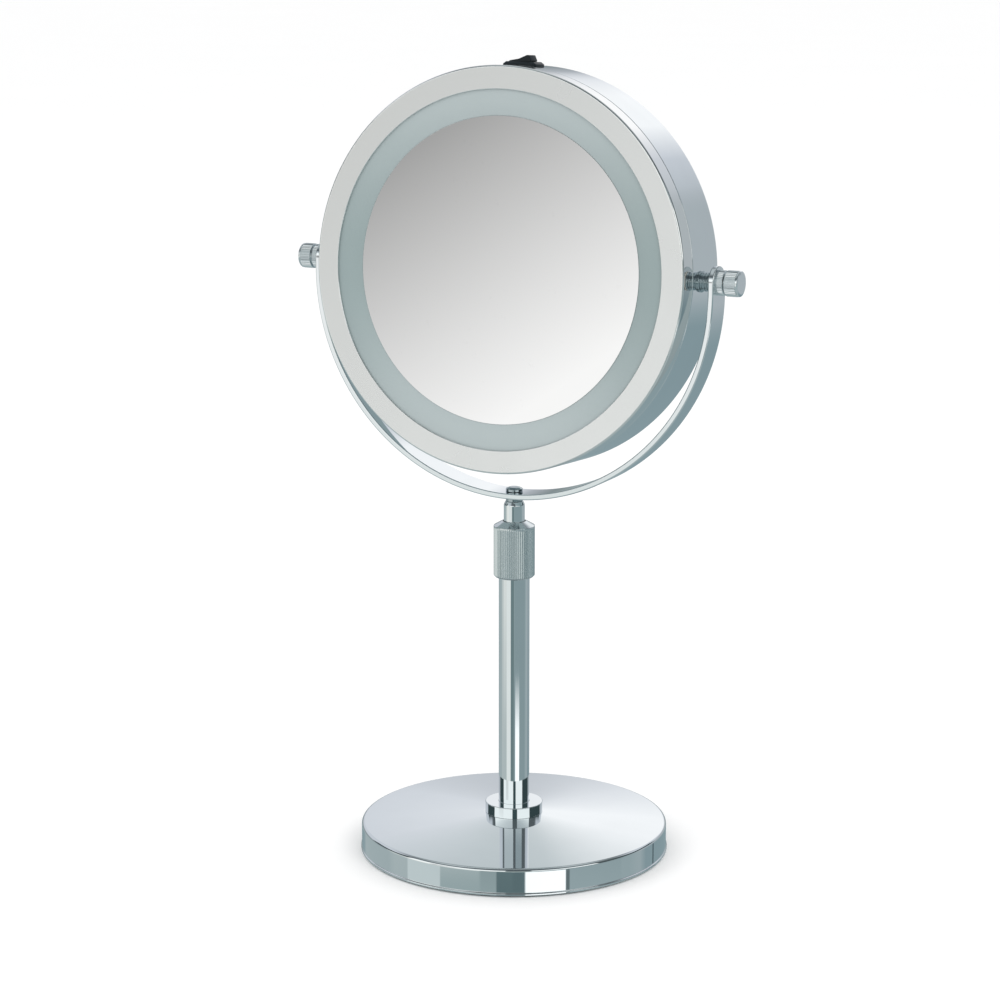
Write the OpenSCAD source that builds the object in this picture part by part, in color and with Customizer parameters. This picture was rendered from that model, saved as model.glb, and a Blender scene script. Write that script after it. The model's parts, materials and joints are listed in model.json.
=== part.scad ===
// Lighted two-sided vanity mirror on a height-adjustable chrome stand.
// +Z is up, the lit face looks along -Y, and the origin is the centre of the base's underside.
// Every length is in millimetres.

/* [Base] */
// Radius of the base's upright wall
base_r = 67.5; // [55:0.5:90]
// Height of the base at its outer edge
base_edge_h = 12.6; // [9:0.1:20]
// Rise of the conical top from the edge to the collar
base_rise = 3.7; // [1:0.1:8]
// Sheet thickness of the base shell
base_sheet = 1.2; // [0.8:0.1:2]
// Thickness of the non-slip pad
pad_t = 2; // [1:0.1:4]
// Radius of the collar at the foot of the column
collar_r = 12.65; // [10:0.05:20]
// Height of the collar
collar_h = 4.8; // [3:0.1:12]

/* [Column] */
// Outer radius of the fixed tube
tube_r = 6.75; // [6:0.05:9]
// Wall of the fixed tube
tube_wall = 1.2; // [0.8:0.1:1.4]
// Length of the fixed tube above the base
tube_len = 121.7; // [90:0.1:220]
// Outer radius of the sliding rod
rod_r = 4.6; // [4:0.05:5]
// Wall of the sliding rod
rod_wall = 1; // [0.7:0.1:1.2]
// How far the rod can be drawn up
height_travel = 80; // [50:1:80]
// Radius of the fluted clamp nut
nut_r = 9; // [8.5:0.1:14]
// Height of the fluted clamp nut
nut_h = 24.9; // [20:0.1:40]
// Number of flutes around the clamp nut
nut_flutes = 60; // [24:1:80]

/* [Yoke] */
// Gap between the casing and each of the yoke's arms
side_gap = 5.8; // [5:0.1:12]
// Depth of the yoke's band, front to back
yoke_band_w = 13.6; // [10:0.1:18]
// Thickness of the yoke's band
yoke_t = 2.4; // [1.5:0.1:4]
// Drop from the tilt axis to the centre of the yoke's arc
yoke_drop = 5; // [2:0.1:20]

/* [Head] */
// Outer radius of the round casing
head_r = 86; // [70:0.5:110]
// Depth of the casing, front face to rear face
head_depth = 37; // [35:0.5:60]
// Distance from the front face back to the bezel's seam
bezel_depth = 9.5; // [8:0.1:12]
// Sheet thickness of the bezel and the drum
casing_sheet = 1.2; // [0.8:0.1:1.6]
// Width of the flat front rim
rim_w = 10; // [7:0.5:14]
// How far the lit ring lies behind the front rim
rim_recess = 2.6; // [1.2:0.1:4]
// Width of the lit ring between the front mirror and the rim
lit_ring_w = 11; // [9:0.5:16]
// Thickness of the front mirror and of the light diffuser
glass_t = 2.5; // [2:0.1:3]
// Tilt of the face above the horizon at rest, in degrees
rest_tilt = 3.6; // [0:0.1:15]
// Number of light-emitting diodes
led_count = 24; // [8:1:32]

/* [Side knobs] */
// Radius of the fluted thumb knobs
knob_r = 5.45; // [5:0.05:9]
// Length of a knob's fluted grip
knob_len = 6.1; // [5:0.1:14]
// Length of the knob's smooth end, beyond the flutes
knob_cap = 2.4; // [1.5:0.1:4]
// Number of flutes around a knob
knob_flutes = 36; // [16:1:48]
// Thickness of the fluted ring between the yoke and a knob
ring_t = 3.1; // [2:0.1:6]
// Narrowest radius of the waisted posts
post_waist_r = 3.6; // [3.4:0.05:5]
// Radius of the posts' flared ends
post_end_r = 4.5; // [4:0.05:6]
// Radius of the knob's stud, on which the yoke turns
stud_r = 2; // [1.5:0.05:2.4]

/* [Switch] */
// Length of the switch's flange, across the casing
switch_len = 15.5; // [13:0.1:20]
// Depth of the switch's flange, front to back
switch_w = 10.5; // [9:0.1:13]
// Distance of the switch behind the tilt axis
switch_back = 3; // [2:0.1:6]
// Angle that the rocker swings through, in degrees
rocker_throw = 18; // [10:1:22]

/* [Fits] */
// Radial clearance of a running fit
run_fit = 0.05; // [0.02:0.01:0.1]
// Gap between flat faces that slide on each other
face_gap = 0.1; // [0.05:0.05:0.2]
// Clearance of a loose piece in its seat
loose_fit = 0.2; // [0.15:0.05:0.4]

/* [Hidden] */
$fn = 96;
eps = 0.01;

// Heights of the stand, from the base up
edge_round = 1.2;
shell_foot = 0.8;
land_z = base_edge_h + base_rise;
bead = 0.4;
weight_top = base_edge_h - base_sheet - 0.4;
weight_r = base_r - base_sheet - 0.6;
bolt_r = 3;
hex_r = 5.77;
bolt_washer_r = 6.3;
bolt_pocket_r = 8;
bolt_head_h = 3.6;
bolt_washer_h = 1;
bolt_pocket_h = bolt_head_h + bolt_washer_h + 0.4;
tube_bore = tube_r - tube_wall;
foot_h = 13.5;
tube_top = land_z + tube_len;
nut_cone_h = 2.1;
nut_foot_h = 0.8;
nut_z = tube_top - 14.7;
nut_top = nut_z + nut_h;
rod_chamfer = 1.5;
neck_h = 1.8;
neck_r = 3.6;
rod_show = 8.7;
rod_top = nut_top + rod_show;
rod_foot = rod_top - 123;
bush_h = 10;
yoke_foot = rod_top + neck_h + face_gap;
arm_in = head_r + side_gap;
yoke_r = arm_in + yoke_t;
pivot_h = yoke_foot + yoke_r + yoke_drop;
screw_r = 2.5;
screw_head_r = 3.7;
screw_head_h = 1.8;
screw_len = 12;
collet_low = 10;
collet_high = 6;

// Distances from the head's centre along its own front-to-back line, positive towards the rear
front_z = -head_depth / 2;
rear_z = head_depth / 2;
seam_z = front_z + bezel_depth;
seam_gap = 0.3;
casing_bore = head_r - casing_sheet;
rim_inner_r = head_r - rim_w;
mirror_r = rim_inner_r - lit_ring_w;
bevel = 0.8;
diffuser_z = front_z + rim_recess;
glass_back = diffuser_z + glass_t;
mirror_proud = 0.2;
spigot_r = casing_bore - run_fit * 2;
spigot_t = 1.1;
spigot_back = seam_z + 4;
skirt_r = spigot_r - spigot_t - loose_fit;
skirt_t = 1.5;
skirt_back = rear_z - 10.5;
channel_floor = glass_back + 4.8;
carrier_t = 1.6;
shelf_r = mirror_r - 1;
shelf_t = 2;
plateau_z = glass_back + 1.3;
board_t = 1.6;
board_in = mirror_r + 2.5;
board_out = board_in + 9;
led_r = (board_in + board_out) / 2;
led_size = [3.5, 2.8, 1.2];
tray_floor = plateau_z + carrier_t;

// Distances from the centre outwards along the tilt axis
boss_r = 7;
boss_in = skirt_r - skirt_t - 0.9;
post_thread_r = 3;
post_nut_t = 3;
friction_t = 0.5;
post_out = arm_in - friction_t - face_gap;
ring_r = knob_r - 0.15;
ring_out = yoke_r + ring_t;
knob_in = ring_out + face_gap;
knob_neck = 0.6;
knob_out = knob_in + knob_neck + knob_len;
stud_in = boss_in + 1;
flute_deep = 0.35;

// Rear cover, which pulls out of the drum's rear opening
rear_open_r = rim_inner_r;
rear_lip_t = 1.2;
ledge_r = rear_open_r - 2;
ledge_z = rear_z - 5.6;
cover_r = rear_open_r - loose_fit - 0.1;
cover_ring_t = 1;
cover_face_in = rear_open_r - 4;
rear_glass_r = cover_r - cover_ring_t - loose_fit;
rear_focus_r = 750;
rear_glass_t = 2.5;
rear_glass_z = rear_z - loose_fit - cover_ring_t - 0.1;
backing_r = ledge_r - loose_fit;
backing_z = rear_z - 9.5;
backing_t = 1.4;

// Switch
switch_flange_h = 1.5;
switch_body_len = 13;
switch_body_w = 8.2;
switch_body_h = 12;
rocker_len = 10.6;
rocker_w = 6.4;
rocker_axis = 0.7;
rocker_pin_r = 0.5;
rocker_pin_len = rocker_w + 3;

// Battery tray and its four slim cells
cell_r = 5.25;
cell_len = 44.5;
cell_count = 4;
cell_pitch = 11.6;
tray_wall = 1.6;
plate_t = 0.4;
spring_h = 3.4;
tray_in = plate_t + cell_len + spring_h + plate_t + 3 * face_gap;
tray_len = tray_in + 2 * tray_wall;
tray_h = cell_count * cell_pitch + 2 * tray_wall;
tray_depth = 11;
cell_z = tray_floor + tray_wall + cell_r + 0.1;
cell_shift = tray_in / 2 - plate_t - face_gap - cell_len / 2;
tray_screw_x = cell_len / 2 - 6;

// Contact springs
spring_turns = 2.5;
spring_steps = 28;
spring_sides = 5;
spring_wire = 0.3;

// Leads: their wire, the holes that they take through the carrier, and the points of their routes
lead_r = 0.7;
lead_sides = 8;
lead_hole_r = 1.2;
board_hole = [led_r * cos(255), led_r * sin(255)];
return_hole = [led_r * cos(60), led_r * sin(60)];
terminal_x = 3.5;
terminal_len = 7;
terminal_end = terminal_len + switch_body_h - head_r;
plate_top = tray_floor + tray_depth + lead_r + face_gap;
lead_bend = channel_floor + carrier_t + 0.5;
supply_route = [[tray_in / 2, cell_y(0) + 2, plate_top], [tray_in / 2, cell_y(0) - 2, plate_top],
    [24, cell_y(0) - 7, 2], [22, terminal_end + 35, 3], [18, terminal_end + 25, 4], [13, terminal_end + 16, 5],
    [8, terminal_end + 9, 4.6], [5, terminal_end + 5, 3.8],
    [terminal_x, terminal_end + 1.6, switch_back], [terminal_x, terminal_end + face_gap, switch_back]];
board_route = [[-terminal_x, terminal_end + face_gap, switch_back], [-terminal_x, terminal_end + 1.6, switch_back],
    [-5, terminal_end + 4.5, 2], [-9, terminal_end + 5, 1.4], [-14, terminal_end + 2, 0],
    [board_hole[0] + 1, board_hole[1] + 1.5, -3], [board_hole[0], board_hole[1], lead_bend],
    [board_hole[0], board_hole[1], channel_floor + face_gap]];
return_route = [[tray_in / 2, cell_y(3) - 2, plate_top], [tray_in / 2, cell_y(3) + 2, plate_top],
    [25.5, cell_y(3) + 8, 2], [return_hole[0] - 8, return_hole[1] - 27, 3],
    [return_hole[0] - 5, return_hole[1] - 17, 3], [return_hole[0] - 2.5, return_hole[1] - 8, 1.5],
    [return_hole[0] - 1, return_hole[1] - 2, -2], [return_hole[0], return_hole[1], lead_bend],
    [return_hole[0], return_hole[1], channel_floor + face_gap]];

// Places the children in the head's frame: x to the right, y to the rear, z up, tilted as at rest
module in_head() {
    translate([0, 0, pivot_h])
        rotate([-rest_tilt, 0, 0])
            children();
}

// Turned pieces of the head: z runs from front to rear, and y points down
module in_drum() {
    in_head()
        rotate([-90, 0, 0])
            children();
}

// Turned pieces on the tilt axis: z points outwards, to the right for side 1 and to the left for side -1
module on_axis(side) {
    in_head()
        rotate([0, 90 * side, 0])
            children();
}

// A ring or tube that stands on z
module tube(r_out, r_in, z, h) {
    translate([0, 0, z])
        difference() {
            cylinder(r = r_out, h = h);
            translate([0, 0, -1])
                cylinder(r = r_in, h = h + 2);
        }
}

// Outline of a fluted grip: one shallow vee for each flute
module flute_outline(r, count) {
    polygon([for (i = [0:2 * count - 1])
        let (a = 180 * i / count, rr = i % 2 == 0 ? r : r - flute_deep)
        [rr * cos(a), rr * sin(a)]]);
}

// A small coloured block, centred on its place
module block(size, place) {
    translate(place)
        cube(size, center = true);
}

// ---- Base ----

module base_shell() {
    rim = base_r - edge_round;
    inner_land = land_z - base_sheet;
    inner_edge = base_edge_h - base_sheet;
    color("silver")
        rotate_extrude()
            polygon(concat(
                [[bolt_r + 0.3, land_z], [collar_r, land_z], [rim, base_edge_h]],
                [for (a = [75:-15:0])
                    [rim + edge_round * cos(a), base_edge_h - edge_round + edge_round * sin(a)]],
                [[base_r, shell_foot + 3 * bead], [base_r + bead, shell_foot + 2 * bead],
                    [base_r + bead, shell_foot], [base_r - base_sheet, shell_foot],
                    [base_r - base_sheet, inner_edge], [collar_r, inner_land], [bolt_r + 0.3, inner_land]]));
}

module base_weight() {
    boss_w = 6;
    boss = collar_r + boss_w;
    boss_top = land_z - base_sheet - base_rise * boss_w / (base_r - edge_round - collar_r);
    color("dimgray")
        difference() {
            union() {
                translate([0, 0, pad_t])
                    cylinder(r = weight_r, h = weight_top - pad_t);
                translate([0, 0, weight_top - eps])
                    cylinder(r = boss, h = boss_top - weight_top + eps);
            }
            translate([0, 0, -1])
                cylinder(r = bolt_r + 0.3, h = land_z + 2);
            translate([0, 0, -1])
                cylinder(r = bolt_pocket_r, h = pad_t + bolt_pocket_h + 1);
        }
}

module base_pad() {
    color("darkslategray")
        cylinder(r = base_r - base_sheet - 0.3, h = pad_t);
}

module base_bolt() {
    head_z = pad_t + bolt_pocket_h - bolt_washer_h - bolt_head_h;
    color("lightgray")
        union() {
            translate([0, 0, head_z])
                cylinder(r = hex_r, h = bolt_head_h, $fn = 6);
            translate([0, 0, head_z + bolt_head_h - eps])
                cylinder(r = bolt_r, h = land_z + foot_h - 3 - head_z - bolt_head_h);
        }
}

module base_washer() {
    color("gray")
        tube(bolt_washer_r, bolt_r + loose_fit, pad_t + bolt_pocket_h - bolt_washer_h, bolt_washer_h);
}

module column_collar() {
    edge = 0.4;
    color("gainsboro")
        rotate_extrude()
            polygon([[tube_r + run_fit, land_z], [collar_r, land_z], [collar_r, land_z + collar_h - edge],
                [collar_r - edge, land_z + collar_h], [tube_r + run_fit, land_z + collar_h]]);
}

// ---- Column ----

module outer_tube() {
    color("silver")
        tube(tube_r, tube_bore, land_z, tube_len);
}

module tube_foot() {
    color("darkgray")
        tube(tube_bore - 0.02, bolt_r + run_fit, land_z, foot_h);
}

// Split sleeve that the clamp nut squeezes onto the rod
module collet() {
    bore = rod_r + run_fit;
    shoulder = tube_r - 0.15;
    tip = rod_r + 1.1;
    slot_w = 0.8;
    slot_z = tube_top - collet_low + 4;
    color("khaki")
        difference() {
            rotate_extrude()
                polygon([[bore, tube_top - collet_low], [tube_bore - run_fit, tube_top - collet_low],
                    [tube_bore - run_fit, tube_top + eps], [shoulder, tube_top + eps],
                    [shoulder, tube_top + 1], [tip, tube_top + collet_high],
                    [bore, tube_top + collet_high]]);
            for (i = [0:2])
                rotate([0, 0, 120 * i])
                    translate([rod_r - 1, -slot_w / 2, slot_z])
                        cube([tube_r, slot_w, collet_low + collet_high]);
        }
}

module clamp_nut() {
    thread = tube_r + run_fit;
    thread_top = tube_top + 1.2;
    cone_bore = rod_r + 0.4;
    squeeze_r = rod_r + 1.35;
    color("silver")
        difference() {
            intersection() {
                translate([0, 0, nut_z])
                    linear_extrude(nut_h)
                        flute_outline(nut_r, nut_flutes);
                rotate_extrude()
                    polygon([[0, nut_z], [nut_r - nut_foot_h, nut_z], [nut_r + eps, nut_z + nut_foot_h],
                        [nut_r + eps, nut_top - nut_cone_h], [cone_bore + 0.3, nut_top], [0, nut_top]]);
            }
            translate([0, 0, nut_z - 1])
                cylinder(r = thread, h = thread_top - nut_z + 1);
            translate([0, 0, thread_top - eps])
                cylinder(r1 = thread, r2 = squeeze_r, h = collet_high - 0.8);
            translate([0, 0, nut_z])
                cylinder(r = cone_bore, h = nut_h + 1);
        }
}

module sliding_rod() {
    color("gainsboro")
        rotate_extrude()
            polygon([[rod_r - rod_wall, rod_foot], [rod_r, rod_foot], [rod_r, rod_top - rod_chamfer],
                [rod_r - 0.7, rod_top], [rod_r - rod_wall, rod_top]]);
}

// Guide sleeve at the rod's lower end, which meets the collet at full height
module rod_bush() {
    lip_h = 1.2;
    color("ivory")
        difference() {
            translate([0, 0, rod_foot - lip_h])
                cylinder(r = tube_bore - run_fit, h = bush_h + lip_h);
            translate([0, 0, rod_foot])
                cylinder(r = rod_r + 0.01, h = bush_h + 1);
            translate([0, 0, rod_foot - lip_h - 1])
                cylinder(r = rod_r - rod_wall, h = lip_h + 2);
        }
}

module rod_plug() {
    color("gray")
        tube(rod_r - rod_wall - 0.02, screw_r + 0.02, rod_top - screw_len - 3, screw_len + 3);
}

module neck_washer() {
    color("dimgray")
        tube(neck_r, screw_r + 0.02, rod_top, neck_h);
}

// Low round-head screw on which the yoke swivels
module yoke_screw() {
    seat = yoke_foot + yoke_t + screw_head_r * screw_head_r / (2 * yoke_r) + face_gap;
    dome = [for (a = [0:15:90]) [screw_head_r * cos(a), seat + screw_head_h * (0.4 + 0.6 * sin(a))]];
    color("slategray")
        rotate_extrude()
            polygon(concat([[0, rod_top - screw_len], [screw_r, rod_top - screw_len], [screw_r, seat],
                [screw_head_r, seat]], dome));
}

// ---- Yoke ----

module yoke_band() {
    color("silver")
        difference() {
            translate([0, 0, pivot_h])
                intersection() {
                    rotate([90, 0, 0])
                        linear_extrude(2 * yoke_band_w, center = true)
                            difference() {
                                yoke_outline(yoke_r);
                                yoke_outline(yoke_r - yoke_t);
                            }
                    rotate([90, 0, 90])
                        linear_extrude(3 * yoke_r, center = true)
                            union() {
                                circle(d = yoke_band_w);
                                translate([-yoke_band_w / 2, -2 * yoke_r])
                                    square([yoke_band_w, 2 * yoke_r]);
                            }
                }
            translate([0, 0, yoke_foot - 1])
                cylinder(r = screw_r + run_fit, h = yoke_t + 2);
            for (side = [-1, 1])
                translate([0, 0, pivot_h])
                    rotate([0, 90 * side, 0])
                        translate([0, 0, arm_in - 1])
                            cylinder(r = stud_r + run_fit, h = yoke_t + 2);
        }
}

// Half circle below the tilt axis, with straight sides that run up past it
module yoke_outline(r) {
    union() {
        translate([0, -yoke_drop])
            circle(r = r);
        translate([-r, -yoke_drop])
            square([2 * r, 2 * r]);
    }
}

module friction_washer(side) {
    color("ivory")
        on_axis(side)
            tube(post_end_r, stud_r + run_fit, arm_in - friction_t, friction_t);
}

module yoke_ring(side) {
    color("silver")
        on_axis(side)
            difference() {
                translate([0, 0, yoke_r])
                    linear_extrude(ring_t)
                        flute_outline(ring_r, knob_flutes);
                translate([0, 0, yoke_r - 1])
                    cylinder(r = stud_r + run_fit, h = ring_t + 2);
            }
}

// Thumb knob in one piece with its stud, which runs through the ring and the arm into the post
module side_knob(side) {
    grip_z = knob_in + knob_neck;
    cap_r = knob_r - flute_deep / 2;
    chamfer = 1.1;
    color("lightsteelblue")
        on_axis(side)
            union() {
                translate([0, 0, grip_z])
                    linear_extrude(knob_len - knob_cap)
                        flute_outline(knob_r, knob_flutes);
                rotate_extrude()
                    polygon([[0, stud_in], [stud_r, stud_in], [stud_r, knob_in], [knob_r - 1.2, knob_in],
                        [knob_r - 1.2, knob_out - knob_cap - 1], [cap_r, knob_out - knob_cap],
                        [cap_r, knob_out - chamfer], [cap_r - 0.4 * chamfer, knob_out - 0.35 * chamfer],
                        [cap_r - chamfer, knob_out], [0, knob_out]]);
            }
}

// ---- Head: casing ----

module casing_drum() {
    cut_len = switch_body_len + 0.4;
    cut_w = switch_body_w + 0.4;
    color("silver")
        difference() {
            in_drum()
                rotate_extrude()
                    polygon([[casing_bore, seam_z + seam_gap], [head_r, seam_z + seam_gap],
                        [head_r, rear_z - bevel], [head_r - bevel, rear_z], [rear_open_r, rear_z],
                        [rear_open_r, ledge_z + rear_lip_t], [ledge_r, ledge_z + rear_lip_t],
                        [ledge_r, ledge_z], [rear_open_r + rear_lip_t, ledge_z],
                        [rear_open_r + rear_lip_t, rear_z - casing_sheet],
                        [casing_bore, rear_z - casing_sheet]]);
            in_head()
                block([cut_len, cut_w, 10], [0, switch_back, head_r]);
            for (side = [-1, 1])
                on_axis(side)
                    translate([0, 0, casing_bore - 5])
                        cylinder(r = post_thread_r + run_fit, h = 10);
        }
}

module front_bezel() {
    lip_r = rim_inner_r + 1;
    color("gainsboro")
        in_drum()
            rotate_extrude()
                polygon([[rim_inner_r, front_z + 0.2], [rim_inner_r + 0.2, front_z], [head_r - bevel, front_z],
                    [head_r, front_z + bevel], [head_r, seam_z], [spigot_r, seam_z], [spigot_r, spigot_back],
                    [spigot_r - spigot_t, spigot_back], [spigot_r - spigot_t, seam_z - 2],
                    [casing_bore, seam_z - 3], [casing_bore, front_z + casing_sheet],
                    [lip_r, front_z + casing_sheet], [lip_r, diffuser_z - eps], [rim_inner_r, diffuser_z - eps]]);
}

// Waisted post between the casing and the yoke, threaded through the casing's wall
module side_post(side) {
    waist_z = (head_r + post_out) / 2;
    thread_in = boss_in - post_nut_t - 0.6;
    color("slategray")
        on_axis(side)
            difference() {
                rotate_extrude()
                    polygon([[0, thread_in], [post_thread_r, thread_in], [post_thread_r, head_r],
                        [post_end_r, head_r], [post_end_r, head_r + 0.7], [post_waist_r, waist_z - 0.6],
                        [post_waist_r, waist_z + 0.6], [post_end_r, post_out - 0.7],
                        [post_end_r, post_out], [0, post_out]]);
                translate([0, 0, stud_in - 0.5])
                    cylinder(r = stud_r + run_fit, h = head_r);
            }
}

module post_nut(side) {
    color("lightgray")
        on_axis(side)
            translate([0, 0, boss_in - post_nut_t])
                difference() {
                    cylinder(r = hex_r, h = post_nut_t, $fn = 6);
                    translate([0, 0, -1])
                        cylinder(r = post_thread_r + 0.02, h = post_nut_t + 2);
                }
}

// ---- Head: mirror and light ----

module front_mirror() {
    edge = 0.5;
    color("lightgray")
        in_drum()
            rotate_extrude()
                polygon([[0, diffuser_z - mirror_proud], [mirror_r - edge, diffuser_z - mirror_proud],
                    [mirror_r, diffuser_z - mirror_proud + edge], [mirror_r, glass_back], [0, glass_back]]);
}

module mirror_tape() {
    color("dimgray")
        in_drum()
            tube(mirror_r - 4, mirror_r - 14, glass_back, plateau_z - glass_back);
}

module light_diffuser() {
    color("lightcyan")
        in_drum()
            tube(skirt_r, mirror_r + 0.1, diffuser_z, glass_t);
}

// Moulded carrier: a plateau behind the mirror, a channel for the diodes and a skirt inside the casing
module light_carrier() {
    color("whitesmoke")
        difference() {
            union() {
                in_drum()
                    rotate_extrude()
                        polygon([[0, plateau_z], [shelf_r, plateau_z], [shelf_r, glass_back],
                            [shelf_r + shelf_t, glass_back], [shelf_r + shelf_t, channel_floor],
                            [skirt_r - skirt_t, channel_floor], [skirt_r - skirt_t, glass_back],
                            [skirt_r, glass_back], [skirt_r, skirt_back], [skirt_r - skirt_t, skirt_back],
                            [skirt_r - skirt_t, channel_floor + carrier_t],
                            [shelf_r, channel_floor + carrier_t], [shelf_r, tray_floor], [0, tray_floor]]);
                for (side = [-1, 1])
                    carrier_boss(side);
            }
            in_head()
                block([switch_body_len + 2, switch_body_w + 2, 20], [0, switch_back, head_r]);
            for (side = [-1, 1])
                on_axis(side)
                    translate([0, 0, boss_in - 5])
                        cylinder(r = post_thread_r + run_fit, h = 20);
            for (hole = [board_hole, return_hole])
                in_drum()
                    translate([hole[0], hole[1], channel_floor - 1])
                        cylinder(r = lead_hole_r, h = carrier_t + 2);
            for (x = [-1, 1])
                in_drum()
                    translate([x * tray_screw_x, 0, plateau_z - 1])
                        cylinder(r = 1.25, h = carrier_t + 2);
        }
}

// Pad that carries a post through the carrier's skirt, level with the casing's bore
module carrier_boss(side) {
    intersection() {
        on_axis(side)
            translate([0, 0, boss_in])
                cylinder(r = boss_r, h = 10);
        in_drum()
            translate([0, 0, spigot_back + loose_fit])
                cylinder(r = casing_bore - 0.05, h = head_depth);
    }
}

module led_board() {
    color("mediumseagreen")
        in_drum()
            tube(board_out, board_in, channel_floor - board_t, board_t);
}

module leds() {
    color("lightyellow")
        in_drum()
            for (i = [0:led_count - 1])
                rotate([0, 0, 360 * i / led_count + 180 / led_count])
                    block(led_size, [led_r, 0, channel_floor - board_t - led_size[2] / 2]);
}

// One chip resistor beside every fourth diode
module led_resistors() {
    color("black")
        in_drum()
            for (i = [0:4:led_count - 1])
                rotate([0, 0, 360 * i / led_count])
                    block([3.2, 1.6, 0.6], [led_r, 0, channel_floor - board_t - 0.3]);
}

// ---- Head: switch ----

module switch_body() {
    recess_w = rocker_w + 0.6;
    color("black")
        in_head()
            difference() {
                union() {
                    block([switch_len, switch_w, switch_flange_h],
                        [0, switch_back, head_r + switch_flange_h / 2]);
                    block([switch_body_len, switch_body_w, switch_body_h + eps],
                        [0, switch_back, head_r - switch_body_h / 2 + eps]);
                }
                block([rocker_len + 0.8, recess_w, 9], [0, switch_back, head_r + switch_flange_h]);
                rocker_pin(rocker_pin_r + run_fit, rocker_pin_len + 2 * face_gap);
            }
}

// The rocker's pivot pin, or the hole that it turns in
module rocker_pin(r, length) {
    translate([0, switch_back, head_r + rocker_axis])
        rotate([90, 0, 0])
            cylinder(r = r, h = length, center = true);
}

module switch_terminals() {
    color("goldenrod")
        in_head()
            for (x = [-terminal_x, terminal_x])
                block([0.8, 4.8, terminal_len], [x, switch_back, head_r - switch_body_h - terminal_len / 2]);
}

// Rocker with its right end up, on a pin through its keel
module switch_rocker() {
    left = -rocker_len / 2;
    right = rocker_len / 2;
    color("darkslategray")
        in_head()
            union() {
                translate([0, switch_back, head_r + rocker_axis])
                    rotate([0, -rocker_throw / 2, 0])
                        rotate([90, 0, 0])
                            linear_extrude(rocker_w, center = true)
                                polygon([[left, 1.6], [left + 0.4, 2], [-0.6, 1.8], [right - 1.9, 3.1],
                                    [right - 0.9, 2.9], [right - 0.2, 0.4], [2, -1.9], [-2, -1.9],
                                    [left + 0.2, 0.4]]);
                rocker_pin(rocker_pin_r, rocker_pin_len);
            }
}

// ---- Head: batteries ----

module battery_tray() {
    color("dimgray")
        in_drum()
            difference() {
                block([tray_len, tray_h, tray_depth], [0, 0, tray_floor + tray_depth / 2]);
                block([tray_in, tray_h - 2 * tray_wall, tray_depth],
                    [0, 0, tray_floor + tray_depth / 2 + tray_wall]);
                for (x = [-1, 1])
                    translate([x * tray_screw_x, 0, tray_floor - 1])
                        cylinder(r = 1.3, h = tray_wall + 2);
            }
}

// Height of a cell in the tray, and the side that its raised end points to
function cell_y(i) = (i - (cell_count - 1) / 2) * cell_pitch;
function cell_way(i) = i % 2 == 0 ? 1 : -1;

module battery_cells() {
    nipple_h = 1;
    nipple_r = 1.9;
    color("gold")
        in_drum()
            for (i = [0:cell_count - 1])
                translate([cell_way(i) * cell_shift, cell_y(i), cell_z])
                    rotate([0, 90 * cell_way(i), 0])
                        union() {
                            translate([0, 0, -cell_len / 2])
                                cylinder(r = cell_r, h = cell_len - nipple_h);
                            translate([0, 0, cell_len / 2 - nipple_h - eps])
                                cylinder(r = nipple_r, h = nipple_h + eps);
                        }
}

// Contacts in series: a plate for each outer cell at the right, and one for each pair of neighbours
module contact_plates() {
    plate_w = 8;
    plate_z = cell_z + 0.6;
    plate_h = 2 * (tray_floor + tray_depth - plate_z);
    x = tray_in / 2 - plate_t / 2;
    color("silver")
        in_drum() {
            for (i = [0, cell_count - 1])
                block([plate_t, plate_w, plate_h], [x, cell_y(i), plate_z]);
            for (i = [0:cell_count - 2])
                block([plate_t, cell_pitch + plate_w, plate_h],
                    [-cell_way(i) * x, (cell_y(i) + cell_y(i + 1)) / 2, plate_z]);
        }
}

// One conical contact spring behind the flat end of each cell
module contact_springs() {
    color("silver")
        in_drum()
            for (i = [0:cell_count - 1])
                translate([-cell_way(i) * (tray_in / 2 - plate_t), cell_y(i), cell_z])
                    rotate([0, 90 * cell_way(i), 0])
                        sweep([for (k = [0:spring_steps]) spring_ring(k)], spring_sides);
}

// Points of the spring's wire, ring by ring, from its wide foot to its narrow top
function spring_ring(k) =
    let (t = k / spring_steps, a = 360 * spring_turns * t, r = 3.6 - 1.6 * t)
    [for (j = [0:spring_sides - 1])
        let (b = 360 * j / spring_sides, w = r + spring_wire * cos(b))
        [w * cos(a), w * sin(a), spring_wire + (spring_h - 2 * spring_wire) * t + spring_wire * sin(b)]];

// Skin over a row of rings that have the same number of points
module sweep(rings, sides) {
    count = len(rings);
    points = [for (ring = rings) each ring];
    walls = [for (i = [0:count - 2]) for (k = [0:sides - 1])
        [i * sides + k, i * sides + (k + 1) % sides, (i + 1) * sides + (k + 1) % sides, (i + 1) * sides + k]];
    caps = [[for (k = [sides - 1:-1:0]) k], [for (k = [0:sides - 1]) (count - 1) * sides + k]];
    polyhedron(points, concat(walls, caps));
}

module tray_screws() {
    shank_r = 1.2;
    head_r1 = 2.2;
    head_r2 = 1.5;
    head_h = 1.2;
    color("lightgray")
        in_drum()
            for (x = [-1, 1])
                translate([x * tray_screw_x, 0, tray_floor])
                    union() {
                        translate([0, 0, 0.2 - carrier_t])
                            cylinder(r = shank_r, h = carrier_t + tray_wall);
                        translate([0, 0, tray_wall])
                            cylinder(r1 = head_r1, r2 = head_r2, h = head_h);
                    }
}

// ---- Head: leads ----

// Routes in the drum's frame: tray to switch, switch to board, and board to tray
// Unit direction of a route at one of its points
function along(route, i) =
    let (d = route[min(i + 1, len(route) - 1)] - route[max(i - 1, 0)])
    d / norm(d);

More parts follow.
